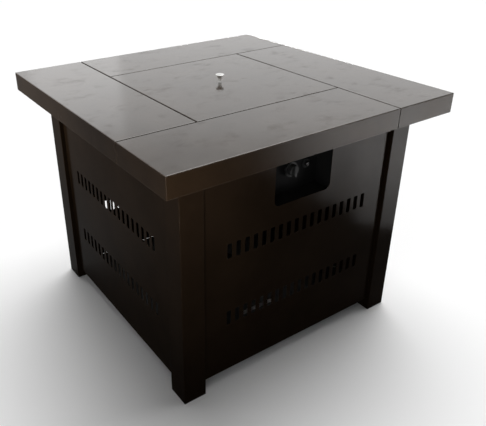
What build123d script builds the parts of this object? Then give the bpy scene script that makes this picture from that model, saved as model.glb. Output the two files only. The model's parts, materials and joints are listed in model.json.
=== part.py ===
from build123d import *
import os
from math import cos, hypot, pi, sin

# Square propane fire pit table. Millimetres, +Z up, origin on the floor under the middle.
# The side with the control opening faces -Y and the tank door is on the +Y side.

# Table top
TOP_SIDE = 965.0
TABLE_HEIGHT = 762.0
PLANK_WIDTH = 231.0
APRON_DEPTH = 58.0
APRON_HEM = 12.0
SEAM_GAP = 3.0
SEAM_FLANGE = 20.0
SEAT_LIP = 16.0
SHEET = 1.5
BEND = 2.5

# Body
BODY_SIDE = 814.0
LEG_SIDE = 72.0
FOOT_FLANGE = 3.0
FOOT_PLUG = 14.0
PANEL_RECESS = 12.0
PANEL_BOTTOM = 39.0
PANEL_FLANGE = 22.0
PANEL_ROUND = 1.2
PANEL_GAP = 0.5
RAIL_DEEP = 40.0
RAIL_TALL = 30.0
PAN_RAIL = 24.0

# Vent slots, two rows on the front, the left and the door, the upper row alone on the right
SLOT_COUNT = 18
SLOT_PITCH = 29.2
SLOT_WIDTH = 15.5
SLOT_HEIGHT = 46.5
SLOT_ROUND = 4.0
UPPER_ROW_DROP = 316.0
LOWER_ROW_RISE = 188.0

# Control opening and what is behind it
OPENING_WIDTH = 204.0
OPENING_HEIGHT = 132.0
OPENING_DROP = 100.0
OPENING_RADIUS = 18.0
BOX_MARGIN = 3.0
BOX_DEPTH = 60.0
BOX_FLANGE = 15.0
VALVE_WIDTH = 36.0
VALVE_DEPTH = 44.0
VALVE_ABOVE = 20.0
VALVE_BELOW = 40.0
OUTLET_DROP = 26.0
SPINDLE_RADIUS = 4.0
KNOB_SKIRT = 22.0
KNOB_GRIP = 16.0
KNOB_LENGTH = 22.0
KNOB_PUSH = 4.0
IGNITER_SIDE = 62.0
BUTTON_RADIUS = 7.0
BUTTON_PRESS = 6.0
INLET_RADIUS = 7.94

# Fire bowl and burner
PAN_DEPTH = 85.0
PAN_INSET = 18.0
PAN_FLANGE_REACH = 24.0
PAN_CORNER = 3.0
BURNER_RADIUS = 112.0
BURNER_TUBE = 11.0
BURNER_LIFT = 33.0
BURNER_WALL = 1.5
HUB_RADIUS = 13.0
SHIELD_HALF = 190.0
SHIELD_DROP = 108.0
ROCK_PITCH = 54.0
ROCK_REACH = 23.0

# Tank tray and door
TANK_RING_RADIUS = 106.0
TANK_RING_WALL = 2.0
TANK_RING_TALL = 30.0
DOOR_GAP = 3.0
DOOR_FLANGE = 20.0
HINGE_INSET = 6.0
PIN_RADIUS = 3.0
PLATE = 3.0

# Pull knobs and fasteners
PULL_HEAD = 13.0
PULL_HEIGHT = 25.0
PULL_FOOT = 4.8
BOLT_RADIUS = 3.0
SCREW_RADIUS = 2.5
HOLE_EASE = 0.3
RUN_EASE = 0.05
SLIDE_EASE = 0.3

# Positions that follow from the sizes
half = TOP_SIDE / 2
seam = half - PLANK_WIDTH
body = BODY_SIDE / 2
leg_in = body - LEG_SIDE
under = TABLE_HEIGHT - SHEET
seat = TABLE_HEIGHT - SEAM_FLANGE
apron_low = TABLE_HEIGHT - APRON_DEPTH
face = body - PANEL_RECESS
back = face - SHEET
panel_half = leg_in - PANEL_GAP
rail_low = seat - RAIL_TALL
panel_top = seat - 4
flange_top = rail_low - 2
upper_row = TABLE_HEIGHT - UPPER_ROW_DROP
lower_row = PANEL_BOTTOM + LOWER_ROW_RISE
tray_low = PANEL_BOTTOM + SHEET
tray_top = tray_low + SHEET
bolt_line = seam + SEAM_GAP / 2 + SHEET + SEAT_LIP / 2
pan_rail_top = seat - SHEET
pan_rail_low = pan_rail_top - PAN_RAIL
opening_top = TABLE_HEIGHT - OPENING_DROP
opening_low = opening_top - OPENING_HEIGHT
opening_mid = (opening_top + opening_low) / 2
wall_front = back - BOX_DEPTH
wall_rear = wall_front - SHEET
pan_half = seam - PAN_INSET
pan_floor = seat - PAN_DEPTH
pan_under = pan_floor - SHEET
burner_z = pan_floor + BURNER_LIFT
shield_top = pan_under - SHIELD_DROP
valve_z = opening_mid
outlet_z = valve_z - OUTLET_DROP
valve_back = wall_rear - VALVE_DEPTH
flange_mid = face - PANEL_FLANGE / 2 - 1
sill_back = back - DOOR_FLANGE - 4
sill_front = sill_back - PANEL_FLANGE - 4
sill_mid = (sill_front + sill_back) / 2
bracket_screw_xs = (-panel_half + 14, -panel_half + 34)
bracket_screw_y = back - RAIL_DEEP * 0.75
bolt_heights = [PANEL_BOTTOM + (flange_top - PANEL_BOTTOM) * part for part in (0.12, 0.5, 0.88)]

os.makedirs("parts", exist_ok=True)
front_plane = Plane(origin=(0, -face, 0), x_dir=(1, 0, 0), z_dir=(0, -1, 0))
control_plane = Plane(origin=(0, -wall_front, valve_z), x_dir=(1, 0, 0), z_dir=(0, -1, 0))


def block(x0, x1, y0, y1, z0, z1, mode=Mode.ADD):
    """A box between two corners."""
    with Locations(((x0 + x1) / 2, (y0 + y1) / 2, (z0 + z1) / 2)):
        Box(x1 - x0, y1 - y0, z1 - z0, mode=mode)


def post(x, y, z0, z1, radius, mode=Mode.ADD):
    """An upright cylinder."""
    with Locations((x, y, (z0 + z1) / 2)):
        Cylinder(radius, z1 - z0, mode=mode)


def around(points):
    """The points turned through the four quarters."""
    turned = []
    for x, y in points:
        turned += [(x, y), (-y, x), (-x, -y), (y, -x)]
    return turned


def save(piece, label):
    piece.part.label = label
    export_step(piece.part, f"parts/{label}.step")


# Fastener patterns, used for the fasteners and for the holes they pass through
plank_bolt_spots = around([(-seam * 0.6, -bolt_line), (seam * 0.6, -bolt_line)])
panel_bolt_spots = []
for height in bolt_heights:
    panel_bolt_spots.append(Location((-panel_half + SHEET, -flange_mid, height), (0, -90, 0)))
    panel_bolt_spots.append(Location((panel_half - SHEET, -flange_mid, height), (0, 90, 0)))
rail_screw_height = (rail_low + panel_top) / 2
rail_screw_spots = [
    Location((x, -face, rail_screw_height), (-90, 0, 0)) for x in (-panel_half * 0.7, 0, panel_half * 0.7)
]
tray_screw_y = -face + PANEL_FLANGE * 0.6
tray_screw_xs = (-panel_half * 0.6, panel_half * 0.6)
tray_screw_spots = [Location((x, tray_screw_y, tray_top), (180, 0, 0)) for x in tray_screw_xs]

with BuildPart() as hex_bolt:
    with BuildSketch():
        RegularPolygon(BOLT_RADIUS * 1.9, 6)
    extrude(amount=-BOLT_RADIUS * 1.3)
    post(0, 0, -0.5, SHEET * 2 + 8, BOLT_RADIUS)

with BuildPart() as sheet_screw:
    with BuildSketch():
        Circle(SCREW_RADIUS * 1.9)
    extrude(amount=-SCREW_RADIUS)
    fillet(sheet_screw.edges().sort_by(Axis.Z)[0], SCREW_RADIUS * 0.6)
    post(0, 0, -0.5, SHEET * 2 + 5, SCREW_RADIUS)

with BuildPart() as front_bolts:
    for spot in panel_bolt_spots:
        with Locations(spot):
            add(hex_bolt.part)

with BuildPart() as front_bolt_paths:
    for spot in panel_bolt_spots:
        with Locations(spot):
            Cylinder(BOLT_RADIUS, 40)

with BuildPart() as front_flange_paths:
    for spot in panel_bolt_spots:
        with Locations(spot):
            Cylinder(BOLT_RADIUS + HOLE_EASE, SHEET * 3)

with BuildPart() as front_rail_paths:
    for spot in rail_screw_spots:
        with Locations(spot):
            Cylinder(SCREW_RADIUS, SHEET * 8)

with BuildPart() as front_tray_paths:
    for spot in tray_screw_spots:
        with Locations(spot):
            Cylinder(SCREW_RADIUS, SHEET * 8)

# Table top planks, four alike laid in a pinwheel, each a folded tray
plank_x0 = -half
plank_x1 = seam - SEAM_GAP / 2
plank_y0 = -half
plank_y1 = -seam - SEAM_GAP / 2

with BuildPart() as plank:
    block(plank_x0, plank_x1, plank_y0, plank_y1, apron_low, TABLE_HEIGHT)
    corner = plank.edges().filter_by(Axis.Z).sort_by(Axis.X)[:2].sort_by(Axis.Y)[0]
    rim = plank.faces().sort_by(Axis.Z)[-1].edges()
    fillet(rim + [corner], BEND)
    left_in = plank_x0 + SHEET
    front_in = plank_y0 + SHEET
    block(left_in, plank_x1 - SHEET, front_in, plank_y1 - SHEET, apron_low - 1, under, Mode.SUBTRACT)
    block(left_in, plank_x1 + 1, front_in, plank_y1 + 1, apron_low - 1, seat, Mode.SUBTRACT)
    hem_top = apron_low + SHEET
    block(left_in - SHEET / 2, plank_x0 + APRON_HEM, front_in - SHEET / 2, plank_y1, apron_low, hem_top)
    block(left_in - SHEET / 2, plank_x1, front_in - SHEET / 2, plank_y0 + APRON_HEM, apron_low, hem_top)
    lip_end = seam - BEND * 8
    lip_out = plank_y1 - SHEET - SEAT_LIP
    block(-lip_end, lip_end, lip_out, plank_y1 - SHEET / 2, seat, seat + SHEET)
    with Locations(*[(x, y, seat) for x, y in plank_bolt_spots]):
        Cylinder(BOLT_RADIUS, SHEET * 4, mode=Mode.SUBTRACT)

for quarter, label in enumerate(("front_plank", "right_plank", "back_plank", "left_plank")):
    with BuildPart() as turned_plank:
        add(plank.part, rotation=(0, 0, 90 * quarter))
    save(turned_plank, label)

# Lid that closes the middle of the top, and its pull knob
lid_half = seam - SEAM_GAP / 2
with BuildPart() as lid:
    block(-lid_half, lid_half, -lid_half, lid_half, seat, TABLE_HEIGHT)
    fillet(lid.edges().filter_by(Axis.Z) + lid.faces().sort_by(Axis.Z)[-1].edges(), BEND)
    inner = lid_half - SHEET
    block(-inner, inner, -inner, inner, seat - 1, under, Mode.SUBTRACT)
    post(0, 0, under - 1, TABLE_HEIGHT + 1, SCREW_RADIUS + HOLE_EASE, Mode.SUBTRACT)
save(lid, "lid")

with BuildPart() as pull:
    with BuildSketch(Plane.XZ):
        with BuildLine():
            Line((0, 0), (PULL_FOOT, 0))
            Line((PULL_FOOT, 0), (PULL_FOOT, PULL_HEIGHT * 0.05))
            Spline(
                (PULL_FOOT, PULL_HEIGHT * 0.05),
                (PULL_FOOT * 1.06, PULL_HEIGHT * 0.32),
                (PULL_FOOT * 1.55, PULL_HEIGHT * 0.64),
                (PULL_HEAD, PULL_HEIGHT * 0.89),
            )
            Line((PULL_HEAD, PULL_HEIGHT * 0.89), (PULL_HEAD, PULL_HEIGHT * 0.94))
            Line((PULL_HEAD, PULL_HEIGHT * 0.94), (PULL_HEAD * 0.92, PULL_HEIGHT * 0.98))
            Line((PULL_HEAD * 0.92, PULL_HEIGHT * 0.98), (0, PULL_HEIGHT))
            Line((0, PULL_HEIGHT), (0, 0))
        make_face()
    revolve(axis=Axis.Z)
    post(0, 0, -1, SHEET * 2 + 4, SCREW_RADIUS, Mode.SUBTRACT)

with BuildPart() as lid_knob:
    with Locations((0, 0, TABLE_HEIGHT)):
        add(pull.part)
save(lid_knob, "lid_knob")

with BuildPart() as lid_knob_screw:
    with Locations((0, 0, under)):
        add(sheet_screw.part)
save(lid_knob_screw, "lid_knob_screw")

# Corner legs, square tubes on plastic foot caps
with BuildPart() as leg:
    block(-body, -leg_in, -body, -leg_in, FOOT_FLANGE, under)
    fillet(leg.edges().filter_by(Axis.Z), BEND)
    out_side = -body + SHEET
    in_side = -leg_in - SHEET
    block(out_side, in_side, out_side, in_side, FOOT_FLANGE - 1, under + 1, Mode.SUBTRACT)

leg_names = ("front_left_leg", "front_right_leg", "back_right_leg", "back_left_leg")
for quarter, label in enumerate(leg_names):
    with BuildPart() as turned_leg:
        add(leg.part, rotation=(0, 0, 90 * quarter))
        for side in (0, 1, 3):
            add(front_bolt_paths.part, rotation=(0, 0, 90 * side), mode=Mode.SUBTRACT)
    save(turned_leg, label)

plug_in = SHEET + HOLE_EASE
with BuildPart() as foot_caps:
    for x, y in around([(-(body + leg_in) / 2, -(body + leg_in) / 2)]):
        with Locations((x, y, FOOT_FLANGE / 2)):
            Box(LEG_SIDE, LEG_SIDE, FOOT_FLANGE)
        plug = LEG_SIDE - 2 * plug_in
        with Locations((x, y, FOOT_FLANGE + FOOT_PLUG / 2)):
            Box(plug, plug, FOOT_PLUG)
        with Locations((x, y, FOOT_FLANGE + FOOT_PLUG / 2 + PLATE)):
            Box(plug - 2 * PLATE, plug - 2 * PLATE, FOOT_PLUG, mode=Mode.SUBTRACT)
    fillet([e for e in foot_caps.edges().filter_by(Axis.Z) if e.center().Z < FOOT_FLANGE], BEND)
save(foot_caps, "foot_caps")

# Upper rails between the legs, which carry the planks
with BuildPart() as rail:
    block(-leg_in, leg_in, -back, -back + RAIL_DEEP, rail_low, seat)
    block(-leg_in - 1, leg_in + 1, -back + SHEET, -back + RAIL_DEEP - SHEET, rail_low + SHEET, seat - SHEET,
          Mode.SUBTRACT)

rail_names = ("front_rail", "right_rail", "back_rail", "left_rail")
for quarter, label in enumerate(rail_names):
    with BuildPart() as turned_rail:
        add(rail.part, rotation=(0, 0, 90 * quarter))
        if label != "back_rail":
            add(front_rail_paths.part, rotation=(0, 0, 90 * quarter), mode=Mode.SUBTRACT)
        else:
            for x in bracket_screw_xs:
                post(x, bracket_screw_y, rail_low - 1, rail_low + SHEET * 2, SCREW_RADIUS, Mode.SUBTRACT)
    save(turned_rail, label)

# Pan rails, which frame the fire bowl and take the plank bolts
pan_rail_long = back - RAIL_DEEP
pan_rail_in = bolt_line - PAN_RAIL / 2
with BuildPart() as long_rail:
    block(-pan_rail_long, pan_rail_long, -bolt_line - PAN_RAIL / 2, -pan_rail_in, pan_rail_low, pan_rail_top)
    block(-pan_rail_long - 1, pan_rail_long + 1, -bolt_line - PAN_RAIL / 2 + SHEET, -pan_rail_in - SHEET,
          pan_rail_low + SHEET, pan_rail_top - SHEET, Mode.SUBTRACT)
    with Locations(*[(x, y, pan_rail_low + PAN_RAIL / 2) for x, y in plank_bolt_spots]):
        Cylinder(BOLT_RADIUS + HOLE_EASE, PAN_RAIL * 2, mode=Mode.SUBTRACT)

with BuildPart() as short_rail:
    block(-pan_rail_in, pan_rail_in, -bolt_line - PAN_RAIL / 2, -pan_rail_in, pan_rail_low, pan_rail_top)
    block(-pan_rail_in - 1, pan_rail_in + 1, -bolt_line - PAN_RAIL / 2 + SHEET, -pan_rail_in - SHEET,
          pan_rail_low + SHEET, pan_rail_top - SHEET, Mode.SUBTRACT)
    with Locations(*[(x, y, pan_rail_low + PAN_RAIL / 2) for x, y in plank_bolt_spots]):
        Cylinder(BOLT_RADIUS + HOLE_EASE, PAN_RAIL * 2, mode=Mode.SUBTRACT)

pan_rails = (
    ("front_pan_rail", long_rail, 0),
    ("right_pan_rail", short_rail, 1),
    ("back_pan_rail", long_rail, 2),
    ("left_pan_rail", short_rail, 3),
)
for label, shape, quarter in pan_rails:
    with BuildPart() as turned_pan_rail:
        add(shape.part, rotation=(0, 0, 90 * quarter))
    save(turned_pan_rail, label)

with BuildPart() as long_bolt:
    with BuildSketch():
        RegularPolygon(BOLT_RADIUS * 1.9, 6)
    extrude(amount=-BOLT_RADIUS * 1.3)
    post(0, 0, -0.5, seat + SHEET + 6 - pan_rail_low, BOLT_RADIUS)

with BuildPart() as plank_bolts:
    for x, y in plank_bolt_spots:
        with Locations((x, y, pan_rail_low)):
            add(long_bolt.part)
save(plank_bolts, "plank_bolts")


def slot_row(height):
    """A row of vent slots, cut through the sheet that lies on the front plane."""
    with BuildSketch(front_plane) as row:
        with Locations((0, height)):
            with GridLocations(SLOT_PITCH, 1, SLOT_COUNT, 1):
                RectangleRounded(SLOT_WIDTH, SLOT_HEIGHT, SLOT_ROUND)
    extrude(row.sketch, amount=SHEET * 2, both=True, mode=Mode.SUBTRACT)


def folded_panel(width_half, low, skin_top, fold_top, fold):
    """A sheet on the front plane with its sides and lower edge folded inward."""
    block(-width_half, width_half, -face, -back, low, skin_top)
    for side in (-1, 1):
        edge = side * width_half
        inner = edge - side * SHEET
        block(min(edge, inner), max(edge, inner), -face, -face + fold, low, fold_top)
    block(-width_half, width_half, -face, -face + fold, low, low + SHEET)


# Fixed panels between the legs
with BuildPart() as panel:
    folded_panel(panel_half, PANEL_BOTTOM, panel_top, flange_top, PANEL_FLANGE)
    front_edges = [
        e for e in panel.edges() if abs(e.center().Y + face) < 0.01 and e.center().Z < panel_top - 1
    ]
    fillet(front_edges, PANEL_ROUND)
    slot_row(upper_row)
    add(front_flange_paths.part, mode=Mode.SUBTRACT)
    add(front_rail_paths.part, mode=Mode.SUBTRACT)
    add(front_tray_paths.part, mode=Mode.SUBTRACT)

with BuildPart() as two_row_panel:
    add(panel.part)
    slot_row(lower_row)

with BuildPart() as front_panel:
    add(two_row_panel.part)
    with BuildSketch(front_plane):
        with Locations((0, opening_mid)):
            RectangleRounded(OPENING_WIDTH, OPENING_HEIGHT, OPENING_RADIUS)
    extrude(amount=SHEET * 2, both=True, mode=Mode.SUBTRACT)
save(front_panel, "front_panel")

for label, flat, quarter in (("right_panel", panel, 1), ("left_panel", two_row_panel, 3)):
    with BuildPart() as turned_panel:
        add(flat.part, rotation=(0, 0, 90 * quarter))
    save(turned_panel, label)

with BuildPart() as panel_bolts:
    for quarter in (0, 1, 3):
        add(front_bolts.part, rotation=(0, 0, 90 * quarter))
save(panel_bolts, "panel_bolts")

# Tank tray on the panels' lower folds, with vents and the ring the cylinder stands in
tray_reach = back - PANEL_GAP
tray_notch = panel_half - SHEET - PANEL_GAP
with BuildPart() as tank_tray:
    block(-tray_reach, tray_reach, -tray_reach, sill_back, tray_low, tray_top)
    for x, y in around([(-(tray_reach + tray_notch) / 2 - 1, -(tray_reach + tray_notch) / 2 - 1)]):
        reach = tray_reach - tray_notch + 2
        with Locations((x, y, tray_low)):
            Box(reach, reach, SHEET * 6, mode=Mode.SUBTRACT)
    for x, y in around([(0, -(TANK_RING_RADIUS + tray_notch) / 2)]):
        with BuildSketch(Plane.XY.offset(tray_low - 1)):
            with Locations(Location((x, y, 0), 0 if abs(x) < 1 else 90)):
                SlotOverall(tray_notch * 0.4, tray_notch * 0.05)
        extrude(amount=SHEET * 3, mode=Mode.SUBTRACT)
    for quarter in (0, 1, 3):
        add(front_tray_paths.part, rotation=(0, 0, 90 * quarter), mode=Mode.SUBTRACT)
    for x in tray_screw_xs:
        post(x, sill_mid, tray_low - 1, tray_top + 1, SCREW_RADIUS, Mode.SUBTRACT)
save(tank_tray, "tank_tray")

with BuildPart() as tank_ring:
    post(0, 0, tray_top, tray_top + TANK_RING_TALL, TANK_RING_RADIUS + TANK_RING_WALL)
    post(0, 0, tray_top - 1, tray_top + TANK_RING_TALL + 1, TANK_RING_RADIUS, Mode.SUBTRACT)
save(tank_ring, "tank_ring")

with BuildPart() as back_sill:
    block(-leg_in, leg_in, sill_front, sill_back, PANEL_BOTTOM, tray_low)
    block(-leg_in, leg_in, sill_front, sill_front + SHEET, FOOT_FLANGE + 12, tray_low)
    for x in tray_screw_xs:
        post(x, sill_mid, PANEL_BOTTOM - 1, tray_low + 1, SCREW_RADIUS, Mode.SUBTRACT)
    for x in bracket_screw_xs:
        post(x, sill_mid, PANEL_BOTTOM - 1, tray_low + 1, SCREW_RADIUS, Mode.SUBTRACT)
save(back_sill, "back_sill")

# Tank door at the back, on two upright pins beside the left rear leg
door_half = leg_in - DOOR_GAP
door_top = min(rail_low - PLATE - PANEL_GAP, apron_low - DOOR_GAP)
hinge_x = -door_half + HINGE_INSET
hinge_y = face - HINGE_INSET
pull_x = (door_half + SLOT_PITCH * SLOT_COUNT / 2) / 2
pull_z = upper_row
with BuildPart() as door_shape:
    folded_panel(door_half, PANEL_BOTTOM, door_top, door_top, DOOR_FLANGE)
    block(-door_half, door_half, -face, -face + DOOR_FLANGE, door_top - SHEET, door_top)
    fillet([e for e in door_shape.edges() if abs(e.center().Y + face) < 0.01], PANEL_ROUND)
    slot_row(upper_row)
    slot_row(lower_row)

with BuildPart() as tank_door:
    add(door_shape.part, rotation=(0, 0, 180))
    post(hinge_x, hinge_y, PANEL_BOTTOM - 1, PANEL_BOTTOM + SHEET + 1, PIN_RADIUS + RUN_EASE, Mode.SUBTRACT)
    post(hinge_x, hinge_y, door_top - SHEET - 1, door_top + 1, PIN_RADIUS + RUN_EASE, Mode.SUBTRACT)
    with Locations(Location((pull_x, face, pull_z), (90, 0, 0))):
        Cylinder(SCREW_RADIUS + HOLE_EASE, SHEET * 4, mode=Mode.SUBTRACT)
save(tank_door, "tank_door")

with BuildPart() as door_knob:
    with Locations(Location((pull_x, face, pull_z), (-90, 0, 0))):
        add(pull.part)
save(door_knob, "door_knob")

with BuildPart() as door_knob_screw:
    with Locations(Location((pull_x, back, pull_z), (-90, 0, 0))):
        add(sheet_screw.part)
save(door_knob_screw, "door_knob_screw")

plate_x0 = -panel_half
plate_x1 = -panel_half + 44
with BuildPart() as hinge_brackets:
    block(plate_x0, plate_x1, sill_front + SHEET + 1, face - 2, PANEL_BOTTOM - PLATE, PANEL_BOTTOM)
    block(plate_x0, plate_x1, back - RAIL_DEEP, face - 2, rail_low - PLATE, rail_low)
    post(hinge_x, hinge_y, 0, rail_low, PIN_RADIUS, Mode.SUBTRACT)
    for x in bracket_screw_xs:
        post(x, sill_mid, PANEL_BOTTOM - PLATE - 1, PANEL_BOTTOM + 1, SCREW_RADIUS, Mode.SUBTRACT)
        post(x, bracket_screw_y, rail_low - PLATE - 1, rail_low + 1, SCREW_RADIUS, Mode.SUBTRACT)
save(hinge_brackets, "hinge_brackets")

with BuildPart() as hinge_pins:
    post(hinge_x, hinge_y, PANEL_BOTTOM - PLATE, PANEL_BOTTOM + 16, PIN_RADIUS)
    post(hinge_x, hinge_y, door_top - 14, rail_low, PIN_RADIUS)
save(hinge_pins, "hinge_pins")

catch_x = door_half * 0.8
catch_low = door_top - 24
catch_back = face - DOOR_FLANGE - 1
with BuildPart() as door_magnet:
    block(catch_x - 20, catch_x + 20, catch_back - 20, catch_back, catch_low, rail_low)
    fillet(door_magnet.edges().filter_by(Axis.Z), 1.5)
save(door_magnet, "door_magnet")

with BuildPart() as door_strike:
    block(catch_x - 16, catch_x + 16, catch_back + SLIDE_EASE, catch_back + SLIDE_EASE + SHEET, catch_low,
          door_top - SHEET)
    block(catch_x - 16, catch_x + 16, catch_back + SLIDE_EASE, back, catch_low, catch_low + SHEET)
save(door_strike, "door_strike")

# Small round-head screws of the frame, all alike
with BuildPart() as front_screws:
    for spot in rail_screw_spots + tray_screw_spots:
        with Locations(spot):
            add(sheet_screw.part)

with BuildPart() as frame_screws:
    for quarter in (0, 1, 3):
        add(front_screws.part, rotation=(0, 0, 90 * quarter))
    for x in tray_screw_xs:
        with Locations(Location((x, sill_mid, tray_top), (180, 0, 0))):
            add(sheet_screw.part)
save(frame_screws, "frame_screws")

with BuildPart() as short_screw:
    with BuildSketch():
        Circle(SCREW_RADIUS * 1.9)
    extrude(amount=-SCREW_RADIUS)
    post(0, 0, -0.5, PLATE + SHEET, SCREW_RADIUS)

with BuildPart() as hinge_screws:
    for x in bracket_screw_xs:
        with Locations((x, sill_mid, PANEL_BOTTOM - PLATE)):
            add(short_screw.part)
        with Locations((x, bracket_screw_y, rail_low - PLATE)):
            add(short_screw.part)
save(hinge_screws, "hinge_screws")

# Fire bowl
pan_reach = seam + PAN_FLANGE_REACH
pilot_y = -(BURNER_RADIUS + BURNER_TUBE + 12)
pilot_x = 8.0
with BuildPart() as fire_bowl:
    block(-pan_reach, pan_reach, -pan_reach, pan_reach, pan_rail_top, seat)
    with BuildSketch(Plane.XY.offset(pan_under)):
        RectangleRounded(2 * pan_half, 2 * pan_half, PAN_CORNER)
    extrude(amount=seat - pan_under)
    with BuildSketch(Plane.XY.offset(pan_floor)):
        RectangleRounded(2 * (pan_half - SHEET), 2 * (pan_half - SHEET), PAN_CORNER - SHEET)
    extrude(amount=PAN_DEPTH + 1, mode=Mode.SUBTRACT)
    post(0, 0, pan_under - 1, pan_floor + 1, HUB_RADIUS + HOLE_EASE, Mode.SUBTRACT)
    for x in (-pilot_x, pilot_x):
        post(x, pilot_y, pan_under - 1, pan_floor + 1, 4.5, Mode.SUBTRACT)
    for x, y in around([(-pan_half * 0.86, -pan_half * 0.86)]):
        post(x, y, pan_under - 1, pan_floor + 1, 4, Mode.SUBTRACT)
    with Locations(*[(x, y, seat) for x, y in plank_bolt_spots]):
        Cylinder(BOLT_RADIUS + HOLE_EASE, SHEET * 4, mode=Mode.SUBTRACT)
save(fire_bowl, "fire_bowl")

# Burner, a hollow ring with a cross tube and a hub pipe that goes down through the bowl
hub_low = pan_under - 40
window_low = hub_low + 16
window_high = window_low + 14
hub_bore = HUB_RADIUS - 2
cross_tube = BURNER_TUBE - 1
with BuildPart() as burner_ring:
    with Locations((0, 0, burner_z)):
        Torus(BURNER_RADIUS, BURNER_TUBE)
    with Locations(Location((0, 0, burner_z), (0, 90, 0))):
        Cylinder(cross_tube, 2 * BURNER_RADIUS)
    post(0, 0, hub_low, burner_z + BURNER_TUBE + 1, HUB_RADIUS)
    post(0, 0, pan_floor, pan_floor + PLATE, HUB_RADIUS + 8)
    with Locations((0, 0, burner_z)):
        Torus(BURNER_RADIUS, BURNER_TUBE - BURNER_WALL, mode=Mode.SUBTRACT)
    with Locations(Location((0, 0, burner_z), (0, 90, 0))):
        Cylinder(cross_tube - BURNER_WALL, 2 * BURNER_RADIUS, mode=Mode.SUBTRACT)
    post(0, 0, hub_low - 1, burner_z + BURNER_TUBE - 1, hub_bore, Mode.SUBTRACT)
    with Locations((0, 0, (window_low + window_high) / 2)):
        Box(HUB_RADIUS * 3, HUB_RADIUS * 0.8, window_high - window_low, mode=Mode.SUBTRACT)
save(burner_ring, "burner_ring")

foot_angles = [pi / 4 + quarter * pi / 2 for quarter in range(4)]
foot_spots = [(BURNER_RADIUS * cos(angle), BURNER_RADIUS * sin(angle)) for angle in foot_angles]
with BuildPart() as burner_feet:
    for x, y in foot_spots:
        post(x, y, pan_floor, burner_z - BURNER_TUBE * 0.6, 5)
        post(x, y, pan_floor, pan_floor + 2, 9)
    with Locations((0, 0, burner_z)):
        Torus(BURNER_RADIUS, BURNER_TUBE, mode=Mode.SUBTRACT)
save(burner_feet, "burner_feet")

with BuildPart() as burner_locknut:
    with BuildSketch(Plane.XY.offset(pan_under - 6)):
        RegularPolygon(HUB_RADIUS * 1.55, 6)
        Circle(HUB_RADIUS, mode=Mode.SUBTRACT)
    extrude(amount=6)
save(burner_locknut, "burner_locknut")

with BuildPart() as air_shutter:
    post(0, 0, hub_low, window_high + 3, HUB_RADIUS + SLIDE_EASE + 1.5)
    post(0, 0, hub_low - 1, window_high + 4, HUB_RADIUS + SLIDE_EASE, Mode.SUBTRACT)
    with Locations((0, 0, (window_low + window_high) / 2)):
        Box(HUB_RADIUS * 3, HUB_RADIUS * 0.8, window_high - window_low, mode=Mode.SUBTRACT)
    with Locations((0, -HUB_RADIUS - SLIDE_EASE - 4.5, hub_low + 6)):
        Box(PLATE, 8, 8)
save(air_shutter, "air_shutter")

hex_low = hub_low - 12
with BuildPart() as orifice_fitting:
    with BuildSketch(Plane.XY.offset(hex_low)):
        RegularPolygon(HUB_RADIUS * 1.5, 6)
    extrude(amount=12)
    post(0, 0, hub_low, hub_low + 10, hub_bore)
    post(0, 0, hub_low + 10, hub_low + 18, 3)
    post(0, 0, hex_low - 1, hub_low + 20, 1, Mode.SUBTRACT)
save(orifice_fitting, "orifice_fitting")

# Gas train behind the control opening
tube_radius = 5.0
boss_length = 8.0
tube_bend = hex_low - outlet_z
with BuildPart() as gas_tube:
    with BuildLine(Plane.YZ) as tube_path:
        Line((-valve_back + boss_length, outlet_z), (-tube_bend, outlet_z))
        TangentArc((-tube_bend, outlet_z), (0, hex_low), tangent=(1, 0))
    with BuildSketch(Plane(origin=(0, -valve_back + boss_length, outlet_z), z_dir=(0, 1, 0))):
        Circle(tube_radius)
        Circle(tube_radius - 1, mode=Mode.SUBTRACT)
    sweep(path=tube_path.line)
save(gas_tube, "gas_tube")

inlet_y = -(wall_rear + valve_back) / 2
valve_low = valve_z - VALVE_BELOW
with BuildPart() as gas_valve:
    block(-VALVE_WIDTH / 2, VALVE_WIDTH / 2, -wall_rear, -valve_back, valve_low, valve_z + VALVE_ABOVE)
    fillet(gas_valve.edges().filter_by(Axis.Y), 4)
    with Locations(Location((0, -valve_back + boss_length / 2, outlet_z), (90, 0, 0))):
        Cylinder(tube_radius + 3.5, boss_length)
    with Locations(Location((0, -wall_rear, valve_z), (90, 0, 0))):
        Cylinder(SPINDLE_RADIUS + RUN_EASE, 36, mode=Mode.SUBTRACT)
    for x in (-VALVE_WIDTH * 0.36, VALVE_WIDTH * 0.36):
        with Locations(Location((x, -wall_rear, valve_z), (90, 0, 0))):
            Cylinder(SCREW_RADIUS, 24, mode=Mode.SUBTRACT)
save(gas_valve, "gas_valve")

with BuildPart() as inlet_fitting:
    with BuildSketch(Plane(origin=(0, inlet_y, valve_low), z_dir=(0, 0, -1))):
        RegularPolygon(INLET_RADIUS * 1.35, 6)
    extrude(amount=8)
    post(0, inlet_y, valve_low - 24, valve_low - 4, INLET_RADIUS)
    chamfer(inlet_fitting.faces().sort_by(Axis.Z)[0].edges(), 1.5)
    post(0, inlet_y, valve_low - 25, valve_low - 3, INLET_RADIUS * 0.5, Mode.SUBTRACT)
save(inlet_fitting, "inlet_fitting")

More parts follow.
